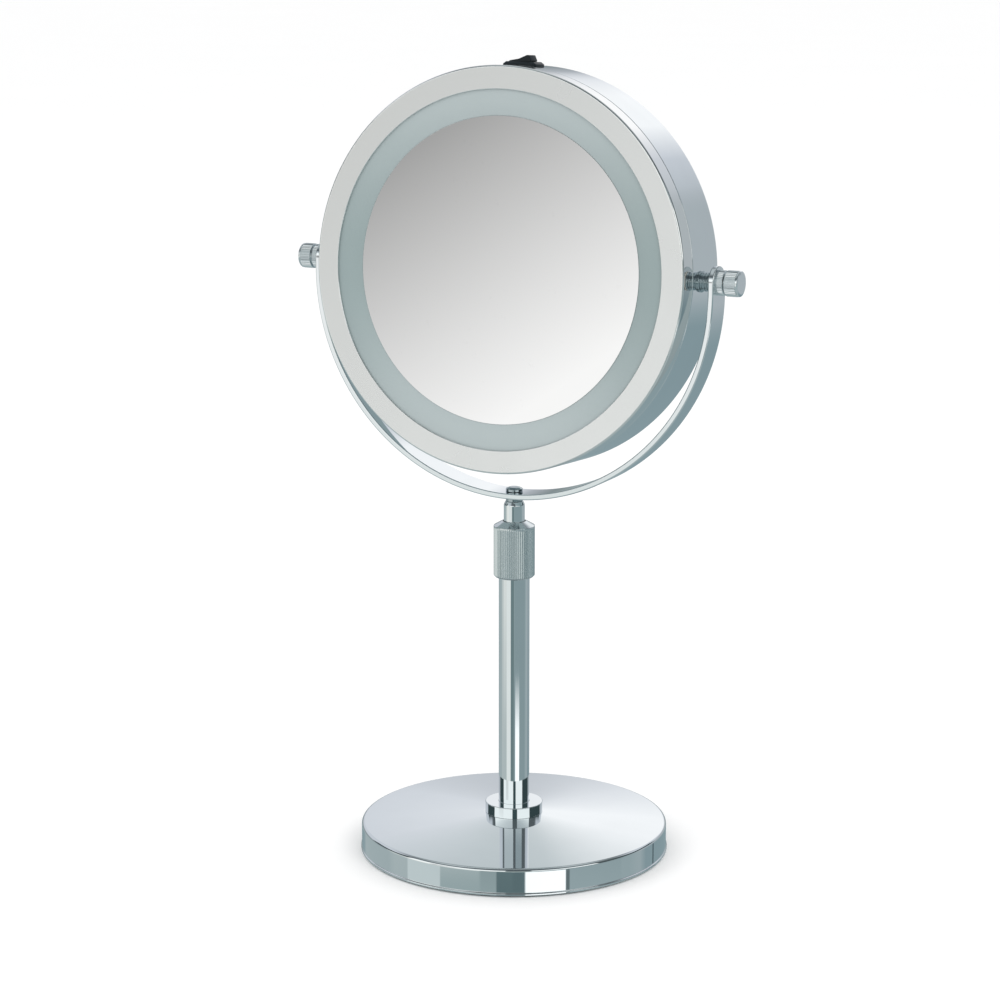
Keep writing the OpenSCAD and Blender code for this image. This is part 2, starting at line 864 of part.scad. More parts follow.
function lead_ring(route, i) =
    let (d = along(route, i), u = cross(d, [1, 0, 0]), s = u / norm(u), t = cross(s, d))
    [for (k = [0:lead_sides - 1])
        let (b = 360 * k / lead_sides)
        route[i] + lead_r * (cos(b) * s + sin(b) * t)];

module lead(route) {
    in_drum()
        sweep([for (i = [0:len(route) - 1]) lead_ring(route, i)], lead_sides);
}

// ---- Rear cover ----

// Depth of the magnifying glass's hollow at radius r
function hollow(r) = (rear_glass_r * rear_glass_r - r * r) / (2 * rear_focus_r);

module rear_mirror() {
    radii = [for (i = [0:12]) rear_glass_r * i / 12];
    color("lightgray")
        in_drum()
            rotate_extrude()
                polygon(concat(
                    [for (r = radii) [r, rear_glass_z - hollow(r)]],
                    [for (i = [12:-1:0]) [radii[i], rear_glass_z - rear_glass_t - hollow(radii[i])]]));
}

module rear_bezel() {
    face = rear_z - loose_fit;
    color("gainsboro")
        in_drum()
            rotate_extrude()
                polygon([[cover_face_in, face], [cover_r - 0.3, face], [cover_r, face - 0.3],
                    [cover_r, ledge_z + rear_lip_t + face_gap],
                    [cover_r - cover_ring_t, ledge_z + rear_lip_t + face_gap],
                    [cover_r - cover_ring_t, face - cover_ring_t], [cover_face_in, face - cover_ring_t]]);
}

// Dished plastic backing with a rim that carries the glass
module rear_backing() {
    rim_top = rear_glass_z - rear_glass_t - hollow(backing_r - 1.2) - face_gap;
    color("whitesmoke")
        in_drum()
            rotate_extrude()
                polygon([[0, backing_z], [backing_r, backing_z], [backing_r, rim_top], [backing_r - 1.2, rim_top],
                    [backing_r - 1.2, backing_z + backing_t], [0, backing_z + backing_t]]);
}

// ---- Assembly ----

base_shell();
base_weight();
base_pad();
base_bolt();
base_washer();
column_collar();
outer_tube();
tube_foot();
collet();
clamp_nut();
sliding_rod();
rod_bush();
rod_plug();
neck_washer();
yoke_screw();
yoke_band();
friction_washer(-1);  // left_friction_washer
friction_washer(1);  // right_friction_washer
yoke_ring(-1);  // left_ring
yoke_ring(1);  // right_ring
side_knob(-1);  // left_knob
side_knob(1);  // right_knob
casing_drum();
front_bezel();
side_post(-1);  // left_post
side_post(1);  // right_post
post_nut(-1);  // left_post_nut
post_nut(1);  // right_post_nut
front_mirror();
mirror_tape();
light_diffuser();
light_carrier();
led_board();
leds();
led_resistors();
switch_body();
switch_terminals();
switch_rocker();
battery_tray();
battery_cells();
contact_springs();
contact_plates();
tray_screws();
color("crimson") lead(supply_route);  // supply_lead
color("crimson") lead(board_route);  // board_lead
color("black") lead(return_route);  // return_lead
rear_bezel();
rear_mirror();
rear_backing();
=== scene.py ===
# Lighted two-sided vanity mirror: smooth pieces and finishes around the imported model
import json
import math
import bpy
import numpy as np
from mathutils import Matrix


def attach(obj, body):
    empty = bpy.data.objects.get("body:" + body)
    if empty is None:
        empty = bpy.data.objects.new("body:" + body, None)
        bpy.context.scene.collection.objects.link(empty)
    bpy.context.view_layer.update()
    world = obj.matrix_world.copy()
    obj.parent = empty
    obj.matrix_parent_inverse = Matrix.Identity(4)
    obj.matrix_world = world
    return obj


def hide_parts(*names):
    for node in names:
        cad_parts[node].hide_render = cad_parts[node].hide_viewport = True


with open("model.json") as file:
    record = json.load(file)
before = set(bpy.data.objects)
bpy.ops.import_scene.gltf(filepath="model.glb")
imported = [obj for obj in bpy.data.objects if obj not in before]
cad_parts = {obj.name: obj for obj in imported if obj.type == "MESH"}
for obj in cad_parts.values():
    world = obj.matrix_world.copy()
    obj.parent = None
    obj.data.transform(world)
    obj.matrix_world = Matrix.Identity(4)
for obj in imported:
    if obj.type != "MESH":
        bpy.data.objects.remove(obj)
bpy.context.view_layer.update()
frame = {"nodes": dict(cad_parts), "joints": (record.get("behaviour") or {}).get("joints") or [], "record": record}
nodes = frame["nodes"]
joints = {joint["name"]: joint for joint in frame["joints"]}
mm = 0.001
crisp, slight, eased = 0.1 * mm, 0.2 * mm, 0.3 * mm        # fillets of turned and pressed edges
samePoint = 0.002 * mm
leastCorner = 0.15 * mm
sharpFrom = 40                                             # degrees between two faces that meet in an edge
fullTurn = 2 * math.pi
print("frame loaded:", len(nodes), "nodes")


def makePlace(origin, side, face, along):
    # a local frame: side and face span the turning plane, along is the axis that a turned piece stands on
    return {"origin": np.array(origin, float), "side": np.array(side, float),
            "face": np.array(face, float), "along": np.array(along, float)}


def axesOf(place):
    return np.stack([place["side"], place["face"], place["along"]])


def toPlace(place, points):
    # world point = origin + a * side + b * face + c * along
    return points @ axesOf(place) + place["origin"]


def nodeBox(node, place):
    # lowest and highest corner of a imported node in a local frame, and its radius across the axis
    mesh = nodes[node].data
    flat = np.zeros(len(mesh.vertices) * 3)
    mesh.vertices.foreach_get("co", flat)
    local = (flat.reshape(-1, 3) - place["origin"]) @ axesOf(place).T
    low, high = local.min(0), local.max(0)
    return low, high, (high[0] - low[0]) / 2


tiltPoint = joints["head_tilt"]["pos_m"]
rearWay = np.array(joints["rear_cover_pull"]["axis"], float)
rearWay = rearWay / np.linalg.norm(rearWay)
headUp = np.array([0, -rearWay[2], rearWay[1]])
stand = makePlace((0, 0, 0), (1, 0, 0), (0, 1, 0), (0, 0, 1))
drumPlace = makePlace(tiltPoint, (1, 0, 0), headUp, rearWay)
rightPlace = makePlace(tiltPoint, rearWay, headUp, (1, 0, 0))
leftPlace = makePlace(tiltPoint, rearWay, headUp, (-1, 0, 0))
headPlace = makePlace(tiltPoint, (1, 0, 0), rearWay, headUp)


def turnedRound(quads):
    # the same faces the other way round; a last corner of -1 stays last
    flipped = quads[:, ::-1].copy()
    threes = quads[:, 3] < 0
    flipped[threes] = np.stack([quads[threes, 2], quads[threes, 1], quads[threes, 0], quads[threes, 3]], 1)
    return flipped


def volumeOf(points, quads):
    # a sixth of the sum of first . (second x third) over the triangles of a closed skin
    fours = quads[quads[:, 3] >= 0]
    threes = np.concatenate([quads[:, :3], fours[:, [0, 2, 3]]])
    first, second, third = (points[threes[:, k]] - points.mean(0) for k in (0, 1, 2))
    return (first * np.cross(second, third)).sum() / 6


def addMesh(name, points, quads, normals=None, attributes=None):
    # quads whose last corner is -1 are triangles; faces that look inwards are turned round
    mesh = bpy.data.meshes.new(name)
    if normals is not None:
        first, second, third = (points[quads[:, k]] for k in (0, 1, 2))
        made = np.cross(second - first, third - first)
        wanted = normals[quads[:, 0]] + normals[quads[:, 1]] + normals[quads[:, 2]]
        if (made * wanted).sum() < 0:
            quads = turnedRound(quads)
    elif volumeOf(points, quads) < 0:
        quads = turnedRound(quads)
    counts = np.where(quads[:, 3] < 0, 3, 4)
    loops = quads[quads >= 0]
    mesh.vertices.add(len(points))
    mesh.vertices.foreach_set("co", points.ravel())
    mesh.loops.add(len(loops))
    mesh.loops.foreach_set("vertex_index", loops)
    mesh.polygons.add(len(counts))
    mesh.polygons.foreach_set("loop_start", np.concatenate([[0], np.cumsum(counts)[:-1]]))
    mesh.polygons.foreach_set("use_smooth", np.ones(len(counts), bool))
    mesh.update(calc_edges=True)
    mesh.validate()
    if normals is not None:
        mesh.normals_split_custom_set_from_vertices(normals)
    else:
        mesh.set_sharp_from_angle(angle=math.radians(sharpFrom))
    for key, values in (attributes or {}).items():
        layer = mesh.attributes.new(key, "FLOAT", "POINT")
        layer.data.foreach_set("value", values)
    piece = bpy.data.objects.new(name, mesh)
    bpy.context.scene.collection.objects.link(piece)
    return piece


def roundProfile(corners, closed=True, step=9):
    # Outline through (r, z, fillet) corners, run counter-clockwise: up the outside and down the inside.
    # A fillet of radius f takes f * tan(turn / 2) off both sides, and its points are centre + f * normal,
    # where the normal swings from the first side's to the second's. Returns points and outward normals.
    marks = np.array([c[:2] for c in corners], float)
    count = len(marks)
    points, normals = [], []
    for i in range(count):
        if not closed and i in (0, count - 1):
            run = marks[1] - marks[0] if i == 0 else marks[-1] - marks[-2]
            run = run / np.linalg.norm(run)
            points.append(marks[i][None])
            normals.append(np.array([[run[1], -run[0]]]))
            continue
        before, after = marks[i] - marks[i - 1], marks[(i + 1) % count] - marks[i]
        room = 0.5 * min(np.linalg.norm(before), np.linalg.norm(after))
        before, after = before / np.linalg.norm(before), after / np.linalg.norm(after)
        turn = math.atan2(before[0] * after[1] - before[1] * after[0], before @ after)
        reach = math.tan(abs(turn) / 2)
        fillet = min(corners[i][2], room / max(reach, 1e-6))
        bow = 1 if turn > 0 else -1
        startNormal = np.array([before[1], -before[0]])
        centre = marks[i] - before * fillet * reach - bow * fillet * startNormal
        steps = max(2, int(math.ceil(math.degrees(abs(turn)) / step)) + 1)
        swing = turn * np.linspace(0, 1, steps)
        ring = np.stack([startNormal[0] * np.cos(swing) - startNormal[1] * np.sin(swing),
                         startNormal[0] * np.sin(swing) + startNormal[1] * np.cos(swing)], 1)
        points.append(centre + bow * fillet * ring)
        normals.append(ring)
    points, normals = np.concatenate(points), np.concatenate(normals)
    steps = np.linalg.norm(points - np.roll(points, 1, 0), axis=1)
    kept = steps > samePoint                                # two fillets that meet share one point
    return points[kept], normals[kept]


def turned(name, outline, place, segments=192, closed=True, flutes=None, attribute=None):
    # Surface of revolution: point(a, k) = (r_k cos a, r_k sin a, z_k), with the radius less
    # depth * (1 - cos(count * a)) / 2 where a grip is fluted. An open outline ends on the axis in two poles.
    points, normals = outline
    inner = points if closed else points[1:-1]
    innerNormals = normals if closed else normals[1:-1]
    angle = np.arange(segments) * fullTurn / segments
    radius = np.broadcast_to(inner[:, 0], (segments, len(inner))).copy()
    if flutes:
        wave = (1 - np.cos(flutes["count"] * angle)) / 2
        inside = ((inner[:, 1] > flutes["low"]) & (inner[:, 1] < flutes["high"])
                  & (inner[:, 0] > flutes["least"]))
        radius -= flutes["depth"] * wave[:, None] * inside[None]
    height = np.broadcast_to(inner[:, 1], radius.shape)
    grid = np.stack([radius * np.cos(angle)[:, None], radius * np.sin(angle)[:, None], height], 2)
    shade = np.stack([innerNormals[:, 0] * np.cos(angle)[:, None],
                      innerNormals[:, 0] * np.sin(angle)[:, None],
                      np.broadcast_to(innerNormals[:, 1], radius.shape)], 2)
    if flutes:                                              # the profile's normals hold where no flute is cut
        around = np.roll(grid, -1, 0) - np.roll(grid, 1, 0)
        upward = np.roll(grid, -1, 1) - np.roll(grid, 1, 1) if closed else np.gradient(grid, axis=1)
        skin = np.cross(around, upward)
        skin /= np.maximum(np.linalg.norm(skin, axis=2, keepdims=True), 1e-12)
        shade = np.where(inside[None, :, None], skin, shade)
    rows = len(inner)
    index = np.arange(segments * rows).reshape(segments, rows)
    left, right = index, np.roll(index, -1, 0)
    if closed:
        quads = np.stack([left, right, np.roll(right, -1, 1), np.roll(left, -1, 1)], 2).reshape(-1, 4)
        flat, shades = grid.reshape(-1, 3), shade.reshape(-1, 3)
    else:
        quads = np.stack([left[:, :-1], right[:, :-1], right[:, 1:], left[:, 1:]], 2).reshape(-1, 4)
        poles = np.array([[0, 0, points[0, 1]], [0, 0, points[-1, 1]]])
        poleNormals = np.array([[0, 0, normals[0, 1]], [0, 0, normals[-1, 1]]])
        start, end = np.full(segments, segments * rows), np.full(segments, segments * rows + 1)
        none = np.full(segments, -1)
        fans = np.concatenate([np.stack([start, right[:, 0], left[:, 0], none], 1),
                               np.stack([end, left[:, -1], right[:, -1], none], 1)])
        quads = np.concatenate([quads, fans])
        flat = np.concatenate([grid.reshape(-1, 3), poles])
        shades = np.concatenate([shade.reshape(-1, 3), poleNormals])
    values = {attribute["name"]: attribute["rule"](flat)} if attribute else None
    return addMesh(name, toPlace(place, flat), quads, shades @ axesOf(place), values)


def stacked(name, outline, half, corner, place, steps=6):
    # Rounded-rectangle rings: with the outline's (s, z), each ring's half sizes are half + s and its corner
    # radius corner + s, and a point is (centre + radius * cos a, centre + radius * sin a, z) on four corners.
    # Both ends are closed by fans to the middle.
    radius = np.maximum(corner + outline[:, 0], leastCorner)[:, None]
    quarter = np.linspace(0, 0.5 * math.pi, steps)
    rings = []
    for turn, (signX, signY) in enumerate(((1, 1), (-1, 1), (-1, -1), (1, -1))):
        angle = quarter + turn * 0.5 * math.pi
        x = signX * (half[0] + outline[:, :1] - radius) + radius * np.cos(angle)
        y = signY * (half[1] + outline[:, :1] - radius) + radius * np.sin(angle)
        rings.append(np.stack([x, y, np.broadcast_to(outline[:, 1:], x.shape)], 2))
    grid = np.concatenate(rings, 1)
    return closedRows(name, grid, place)


def extruded(name, outline, half, edge, place, steps=5):
    # The outline in side and along is carried across face, drawn in by edge * (1 - cos t) along its own
    # normals while the depth runs half - edge + edge * sin t, so both long edges are rounded.
    points, normals = outline
    swing = np.linspace(0, 0.5 * math.pi, steps)
    depth = np.concatenate([-(half - edge + edge * np.sin(swing[::-1])), half - edge + edge * np.sin(swing)])
    inset = edge * (1 - np.cos(np.concatenate([swing[::-1], swing])))
    flat = points[None] - inset[:, None, None] * normals[None]
    grid = np.stack([flat[..., 0], np.broadcast_to(depth[:, None], flat.shape[:2]), flat[..., 1]], 2)
    return closedRows(name, grid, place)


def rowQuads(index):
    # the faces between rows of closed rings, from the grid of their point numbers
    here, there = index[:-1], index[1:]
    return np.stack([here, there, np.roll(there, -1, 1), np.roll(here, -1, 1)], 2).reshape(-1, 4)


def closedRows(name, grid, place):
    # rows of closed rings joined by quads, with a fan from each end ring to its own middle
    rows, columns = grid.shape[:2]
    index = np.arange(rows * columns).reshape(rows, columns)
    first, last = np.full(columns, rows * columns), np.full(columns, rows * columns + 1)
    none = np.full(columns, -1)
    fans = np.concatenate([np.stack([index[0], np.roll(index[0], -1), first, none], 1),
                           np.stack([np.roll(index[-1], -1), index[-1], last, none], 1)])
    points = np.concatenate([grid.reshape(-1, 3), grid[0].mean(0)[None], grid[-1].mean(0)[None]])
    return addMesh(name, toPlace(place, points), np.concatenate([rowQuads(index), fans]))


class Wire:
    # one output of a node; sums and products of wires add Math nodes
    def __init__(self, shader, socket):
        self.shader, self.socket = shader, socket

    def join(self, operation, first, second=None):
        values = {0: first} if second is None else {0: first, 1: second}
        return self.shader.add("ShaderNodeMath", {"operation": operation}, values)

    def __add__(self, other):
        return self.join("ADD", self, other)

    def __sub__(self, other):
        return self.join("SUBTRACT", self, other)

    def __rsub__(self, other):
        return self.join("SUBTRACT", other, self)

    def __mul__(self, other):
        return self.join("MULTIPLY", self, other)

    def __truediv__(self, other):
        return self.join("DIVIDE", self, other)

    def absolute(self):
        return self.join("ABSOLUTE", self)

    def clamped(self):
        return self.join("MINIMUM", self.join("MAXIMUM", self, 0.0), 1.0)

    __radd__, __rmul__ = __add__, __mul__


class Shader:
    # a node tree under construction
    def __init__(self, name=None, tree=None):
        self.material = None
        if tree is None:
            self.material = bpy.data.materials.new(name)
            self.material.use_nodes = True
            tree = self.material.node_tree
            self.surface = tree.nodes["Principled BSDF"]
        self.tree = tree

    def add(self, kind, settings=None, values=None, output=0):
        # settings come first, such as an operation; values are numbers, colours or wires
        node = self.tree.nodes.new(kind)
        for key, setting in (settings or {}).items():
            setattr(node, key, setting)
        self.feed(node, values or {})
        return Wire(self, node.outputs[output]) if node.outputs else None

    def feed(self, node, values):
        for key, value in values.items():
            if isinstance(value, Wire):
                self.tree.links.new(value.socket, node.inputs[key])
            elif isinstance(value, (tuple, list)) and len(value) == 3 and node.inputs[key].type == "RGBA":
                node.inputs[key].default_value = (*value, 1)
            else:
                node.inputs[key].default_value = value

    def coat(self, **values):
        # numbers and colours set on the surface's own sockets, by their names with spaces
        self.feed(self.surface, {key.replace("_", " "): value for key, value in values.items()})

    def place(self, scale=(1, 1, 1)):
        spot = self.add("ShaderNodeTexCoord", output=3)
        return self.add("ShaderNodeMapping", {"vector_type": "POINT"}, {"Vector": spot, "Scale": scale})

    def noise(self, scale, detail=3.0, rough=0.5, stretch=(1, 1, 1)):
        return self.add("ShaderNodeTexNoise", None,
                        {"Vector": self.place(stretch), "Scale": scale, "Detail": detail, "Roughness": rough})

    def blend(self, mask, first, second):
        return self.add("ShaderNodeMix", {"data_type": "RGBA"},
                        {"Factor": mask, "A": (*first, 1) if isinstance(first, tuple) else first,
                         "B": (*second, 1) if isinstance(second, tuple) else second}, output=2)

    def bump(self, height, strength, distance):
        relief = self.add("ShaderNodeBump", None,
                          {"Height": height, "Strength": strength, "Distance": distance})
        self.feed(self.surface, {"Normal": relief})


smudges = {"scale": 38.0, "detail": 3.0, "rough": 0.5, "start": 0.45, "gain": 1.6, "dim": 0.94}


def plated(name, colour, rough, smudge, mask=None):
    # bright plating: clear reflections, a little softer and dimmer in smudges where it is handled
    shader = Shader(name)
    s = smudges
    haze = ((shader.noise(s["scale"], s["detail"], s["rough"]) - s["start"]) * s["gain"]).clamped()
    softness = haze * smudge + rough
    if mask:
        fade = shader.add("ShaderNodeAttribute", {"attribute_name": mask["name"]}, output=2)
        softness = softness + fade * mask["extra"]
    dimmer = tuple(s["dim"] * c for c in colour)
    shader.coat(Metallic=1.0, Roughness=softness, Base_Color=shader.blend(haze, colour, dimmer))
    return shader.material


mouldLook = {"patches": 60.0, "sway": 0.12, "relief": 0.6}


def moulded(name, colour, rough, grainScale, grainDepth, tint=0.9, specular=0.5):
    # moulded or cast surface: fine texture with slow, faint changes of tone
    shader, m = Shader(name), mouldLook
    slow = shader.noise(m["patches"])
    fine = shader.noise(grainScale, 2.0, 0.6)
    other = tuple(tint * c for c in colour)
    shader.coat(Base_Color=shader.blend(slow, colour, other), Specular_IOR_Level=specular,
                Roughness=slow * m["sway"] + (rough - m["sway"] / 2))
    shader.bump(fine, m["relief"], grainDepth)
    return shader.material


metalLook = {"streaks": 500.0, "patches": 90.0, "sway": 0.2, "tint": 0.85, "relief": 0.35, "deep": 0.00003}


def metalWork(name, colour, rough, lines):
    # machined or plated hardware: streaks along the stretched axis
    shader, m = Shader(name), metalLook
    streaks = shader.noise(m["streaks"], 3.0, 0.6, lines)
    patches = shader.noise(m["patches"])
    other = tuple(m["tint"] * c for c in colour)
    shader.coat(Metallic=1.0, Base_Color=shader.blend(patches, colour, other),
                Roughness=streaks * m["sway"] + (rough - m["sway"] / 2))
    shader.bump(streaks, m["relief"], m["deep"])
    return shader.material


dustLook = {"scale": 260.0, "detail": 6.0, "rough": 0.7, "start": 0.62, "gain": 8.0, "dull": 0.02,
            "least": 0.004, "clean": (0.93, 0.93, 0.925), "dusty": (0.9, 0.9, 0.895)}


def mirrorGlass(name):
    # silvered glass: clean, with the faintest dust in its gloss
    shader, d = Shader(name), dustLook
    dust = ((shader.noise(d["scale"], d["detail"], d["rough"]) - d["start"]) * d["gain"]).clamped()
    shader.coat(Metallic=1.0, Roughness=dust * d["dull"] + d["least"],
                Base_Color=shader.blend(dust, d["clean"], d["dusty"]))
    return shader.material


# pale is the acrylic's own tone; deep is the painted shade at the ring's two sides
frostLook = {"grain": 2600.0, "slow": 24.0, "mottle": 0.2, "pale": (0.375, 0.43, 0.435),
             "deep": (0.25, 0.315, 0.317), "rough": 0.3, "sway": 0.1, "gloss": 0.6, "relief": 0.25}


def frostedAcrylic(name):
    # satin acrylic with painted shade: darker in tone at the two sides of the ring
    shader, f = Shader(name), frostLook
    grain = shader.noise(f["grain"], 2.0, 0.6)
    slow = shader.noise(f["slow"], 2.0)
    # this attribute carries painted shade, 1 at the ring's two sides and 0 at its top and bottom
    depth = shader.add("ShaderNodeAttribute", {"attribute_name": "ringSideShade"}, output=2)
    tone = (depth + slow * f["mottle"] - f["mottle"] / 2).clamped()
    shader.coat(Base_Color=shader.blend(tone, f["pale"], f["deep"]), Specular_IOR_Level=f["gloss"],
                Roughness=grain * f["sway"] + f["rough"])
    shader.bump(grain, f["relief"], 0.00002)
    return shader.material


def jacketFinish(name):
    # printed battery jacket: a dark sleeve with a copper-coloured band towards one end
    shader = Shader(name)
    fine = shader.noise(1400.0, 2.0)
    spot = shader.add("ShaderNodeTexCoord", output=3)
    side = shader.add("ShaderNodeSeparateXYZ", None, {"Vector": spot}, output=0)
    band = ((side * 900.0).absolute() - 8.0).clamped()
    shader.coat(Base_Color=shader.blend(band, (0.05, 0.07, 0.12), (0.45, 0.26, 0.13)),
                Roughness=fine * 0.15 + 0.25, Metallic=band * 0.6)
    return shader.material


def boardFinish(name):
    # white solder mask with faint copper runs under it
    shader = Shader(name)
    runs = ((shader.noise(320.0, 1.0, 0.3, (1, 1, 0.2)) - 0.5) * 14.0).clamped()
    shader.coat(Base_Color=shader.blend(runs, (0.76, 0.78, 0.74), (0.66, 0.70, 0.64)), Roughness=0.3)
    shader.bump(runs, 0.4, 0.00003)
    return shader.material


def ledFinish(name):
    # white package with a yellow resin well
    shader = Shader(name)
    speck = shader.noise(1500.0, 2.0)
    shader.coat(Base_Color=shader.blend(speck, (0.86, 0.80, 0.45), (0.83, 0.68, 0.22)), Roughness=0.3)
    return shader.material


def foamFinish(name):
    # open black foam: pale cell walls round dark pits
    shader = Shader(name)
    cells = shader.add("ShaderNodeTexVoronoi", None, {"Vector": shader.place(), "Scale": 2200.0})
    shader.coat(Base_Color=shader.blend(cells, (0.03, 0.03, 0.03), (0.1, 0.1, 0.1)), Roughness=0.9)
    shader.bump(cells, 0.8, 0.0001)
    return shader.material


chromeColour = (0.80, 0.835, 0.845)
finishes = {
    "chrome_plate": plated("chromePlate", chromeColour, 0.025, 0.03),
    "iron_weight": moulded("castIron", (0.035, 0.035, 0.038), 0.6, 420.0, 0.0003, 0.7),
    "grip_pad": moulded("gripPad", (0.012, 0.012, 0.014), 0.75, 1500.0, 0.0002, 0.8, 0.3),
    "zinc_steel": metalWork("zincSteel", (0.60, 0.61, 0.63), 0.34, (1, 1, 0.15)),
    "dark_steel": metalWork("darkSteel", (0.16, 0.18, 0.19), 0.22, (1, 1, 0.15)),
    "brass_sleeve": metalWork("brassSleeve", (0.72, 0.54, 0.24), 0.3, (0.15, 0.15, 1)),
    "brass_tabs": metalWork("brassTabs", (0.74, 0.60, 0.34), 0.3, (1, 1, 0.2)),
    "white_nylon": moulded("whiteNylon", (0.74, 0.73, 0.68), 0.5, 1800.0, 0.00003, 0.93),
    "silvered_glass": mirrorGlass("silveredGlass"),
    "foam_tape": foamFinish("foamTape"),
    "frosted_acrylic": frostedAcrylic("frostedAcrylic"),
    "white_plastic": moulded("whitePlastic", (0.78, 0.78, 0.75), 0.42, 1600.0, 0.00004, 0.95),
    "grey_plastic": moulded("greyPlastic", (0.045, 0.048, 0.052), 0.5, 1600.0, 0.00005, 0.8),
    "black_plastic": moulded("blackPlastic", (0.004, 0.009, 0.013), 0.36, 2200.0, 0.00003, 0.8, 0.3),
    "circuit_board": boardFinish("circuitBoard"),
    "led_package": ledFinish("ledPackage"),
    "battery_jacket": jacketFinish("batteryJacket"),
    "contact_steel": metalWork("contactSteel", (0.66, 0.66, 0.64), 0.28, (1, 0.2, 1)),
    "red_lead": moulded("redLead", (0.42, 0.02, 0.015), 0.4, 900.0, 0.00002, 0.85),
    "black_lead": moulded("blackLead", (0.015, 0.015, 0.015), 0.42, 900.0, 0.00002, 0.8),
}
for part in frame["record"]["subparts"]:
    slots = nodes[part["node"]].data.materials
    slots.clear()
    slots.append(finishes[part["material_slot"]])
bodyOf = {node: body for body, members in frame["record"]["behaviour"]["bodies"].items() for node in members}
slotOf = {part["node"]: part["material_slot"] for part in frame["record"]["subparts"]}
print("finishes made:", len(finishes))


def standFor(piece, node, material=None):
    # a smooth piece takes the body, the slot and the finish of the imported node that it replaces
    piece.data.materials.append(material or finishes[slotOf[node]])
    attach(piece, bodyOf[node])
    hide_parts(node)


baseShape = {"sheet": 1.2 * mm, "edgeRound": 1.4 * mm, "beadFoot": 0.8 * mm, "beadHigh": 2.0 * mm,
             "beadStep": 0.4 * mm, "wallTop": 12.6 * mm, "boltHole": 3.3 * mm, "topBlend": 30 * mm,
             "underBlend": 8 * mm, "inside": 0.4 * mm}


def makeBase():
    s = baseShape
    low, high, beadR = nodeBox("base_shell", stand)
    wallR = beadR - s["beadStep"]
    wallIn = wallR - s["sheet"]
    collarR = nodeBox("column_collar", stand)[2]
    land = high[2]
    outline = roundProfile([
        (s["boltHole"], land - s["sheet"], crisp), (collarR, land - s["sheet"], s["underBlend"]),
        (wallIn, s["wallTop"] - s["sheet"], s["inside"]), (wallIn, s["beadFoot"], slight),
        (beadR, s["beadFoot"], eased), (beadR, s["beadHigh"] - s["beadStep"], eased),
        (wallR, s["beadHigh"], eased), (wallR, s["wallTop"], s["edgeRound"]),
        (collarR, land, s["topBlend"]), (s["boltHole"], land, crisp)], step=5)
    standFor(turned("base_shell_skin", outline, stand, 320), "base_shell")


collarShape = {"edge": 0.35 * mm, "gap": 0.05 * mm, "mouth": 0.15 * mm}


def makeCollar():
    s = collarShape
    low, high, outer = nodeBox("column_collar", stand)
    inner = nodeBox("outer_tube", stand)[2] + s["gap"]
    outline = roundProfile([(inner, low[2], crisp), (outer, low[2], crisp), (outer, high[2], s["edge"]),
                            (inner, high[2], s["mouth"])])
    standFor(turned("column_collar_skin", outline, stand, 192), "column_collar")


tubeShape = {"wall": 1.2 * mm, "lip": 0.2 * mm}


def makeTube():
    low, high, outer = nodeBox("outer_tube", stand)
    inner = outer - tubeShape["wall"]
    lip = tubeShape["lip"]
    outline = roundProfile([(inner, low[2], lip), (outer, low[2], lip), (outer, high[2], lip),
                            (inner, high[2], lip)])
    standFor(turned("outer_tube_skin", outline, stand, 160), "outer_tube")


nutShape = {"flutes": 60, "depth": 0.32 * mm, "cone": 2.1 * mm, "foot": 0.8 * mm, "bore": 6.8 * mm,
            "mouth": 5.0 * mm, "coneTopR": 5.3 * mm, "throat": 9.5 * mm, "throatTop": 4.7 * mm,
            "land": 1.2 * mm, "runOut": 0.25 * mm, "grip": 0.45 * mm, "shoulder": 0.35 * mm}


def makeNut():
    s = nutShape
    low, high, outer = nodeBox("clamp_nut", stand)
    shoulder = high[2] - s["cone"]
    outline = roundProfile([
        (s["mouth"], shoulder - s["throatTop"], slight), (s["bore"], shoulder - s["throat"], slight),
        (s["bore"], low[2], crisp), (outer - s["foot"], low[2], slight),
        (outer, low[2] + s["foot"], s["runOut"]), (outer, shoulder - s["land"], 0),
        (outer, shoulder, s["shoulder"]), (s["coneTopR"], high[2], slight), (s["mouth"], high[2], crisp)])
    flutes = {"count": s["flutes"], "depth": s["depth"], "low": low[2] + s["foot"] * 0.4,
              "high": shoulder - s["runOut"], "least": outer - s["grip"]}
    skin = turned("clamp_nut_skin", outline, stand, s["flutes"] * 10, flutes=flutes)
    standFor(skin, "clamp_nut", gripChrome)


rodShape = {"wall": 1.0 * mm, "chamfer": 1.5 * mm, "inset": 0.7 * mm, "shoulder": 0.9 * mm, "lip": 0.25 * mm}


def makeRod():
    s = rodShape
    low, high, outer = nodeBox("sliding_rod", stand)
    inner = outer - s["wall"]
    outline = roundProfile([
        (inner, low[2], crisp), (outer, low[2], slight), (outer, high[2] - s["chamfer"], s["shoulder"]),
        (outer - s["inset"], high[2], s["lip"]), (inner, high[2], crisp)])
    standFor(turned("sliding_rod_skin", outline, stand, 144), "sliding_rod")


neckShape = {"bore": 2.52 * mm, "edge": 0.25 * mm}


def makeNeck():
    low, high, outer = nodeBox("neck_washer", stand)
    inner, edge = neckShape["bore"], neckShape["edge"]
    outline = roundProfile([(inner, low[2], crisp), (outer, low[2], edge), (outer, high[2], edge),
                            (inner, high[2], crisp)])
    standFor(turned("neck_washer_skin", outline, stand, 96), "neck_washer", darkChrome)


screwShape = {"shank": 2.5 * mm, "end": 0.4 * mm, "headHigh": 1.8 * mm, "dome": 0.7 * mm, "brow": 0.5 * mm,
              "crown": 0.62, "crownRound": 1.6 * mm}


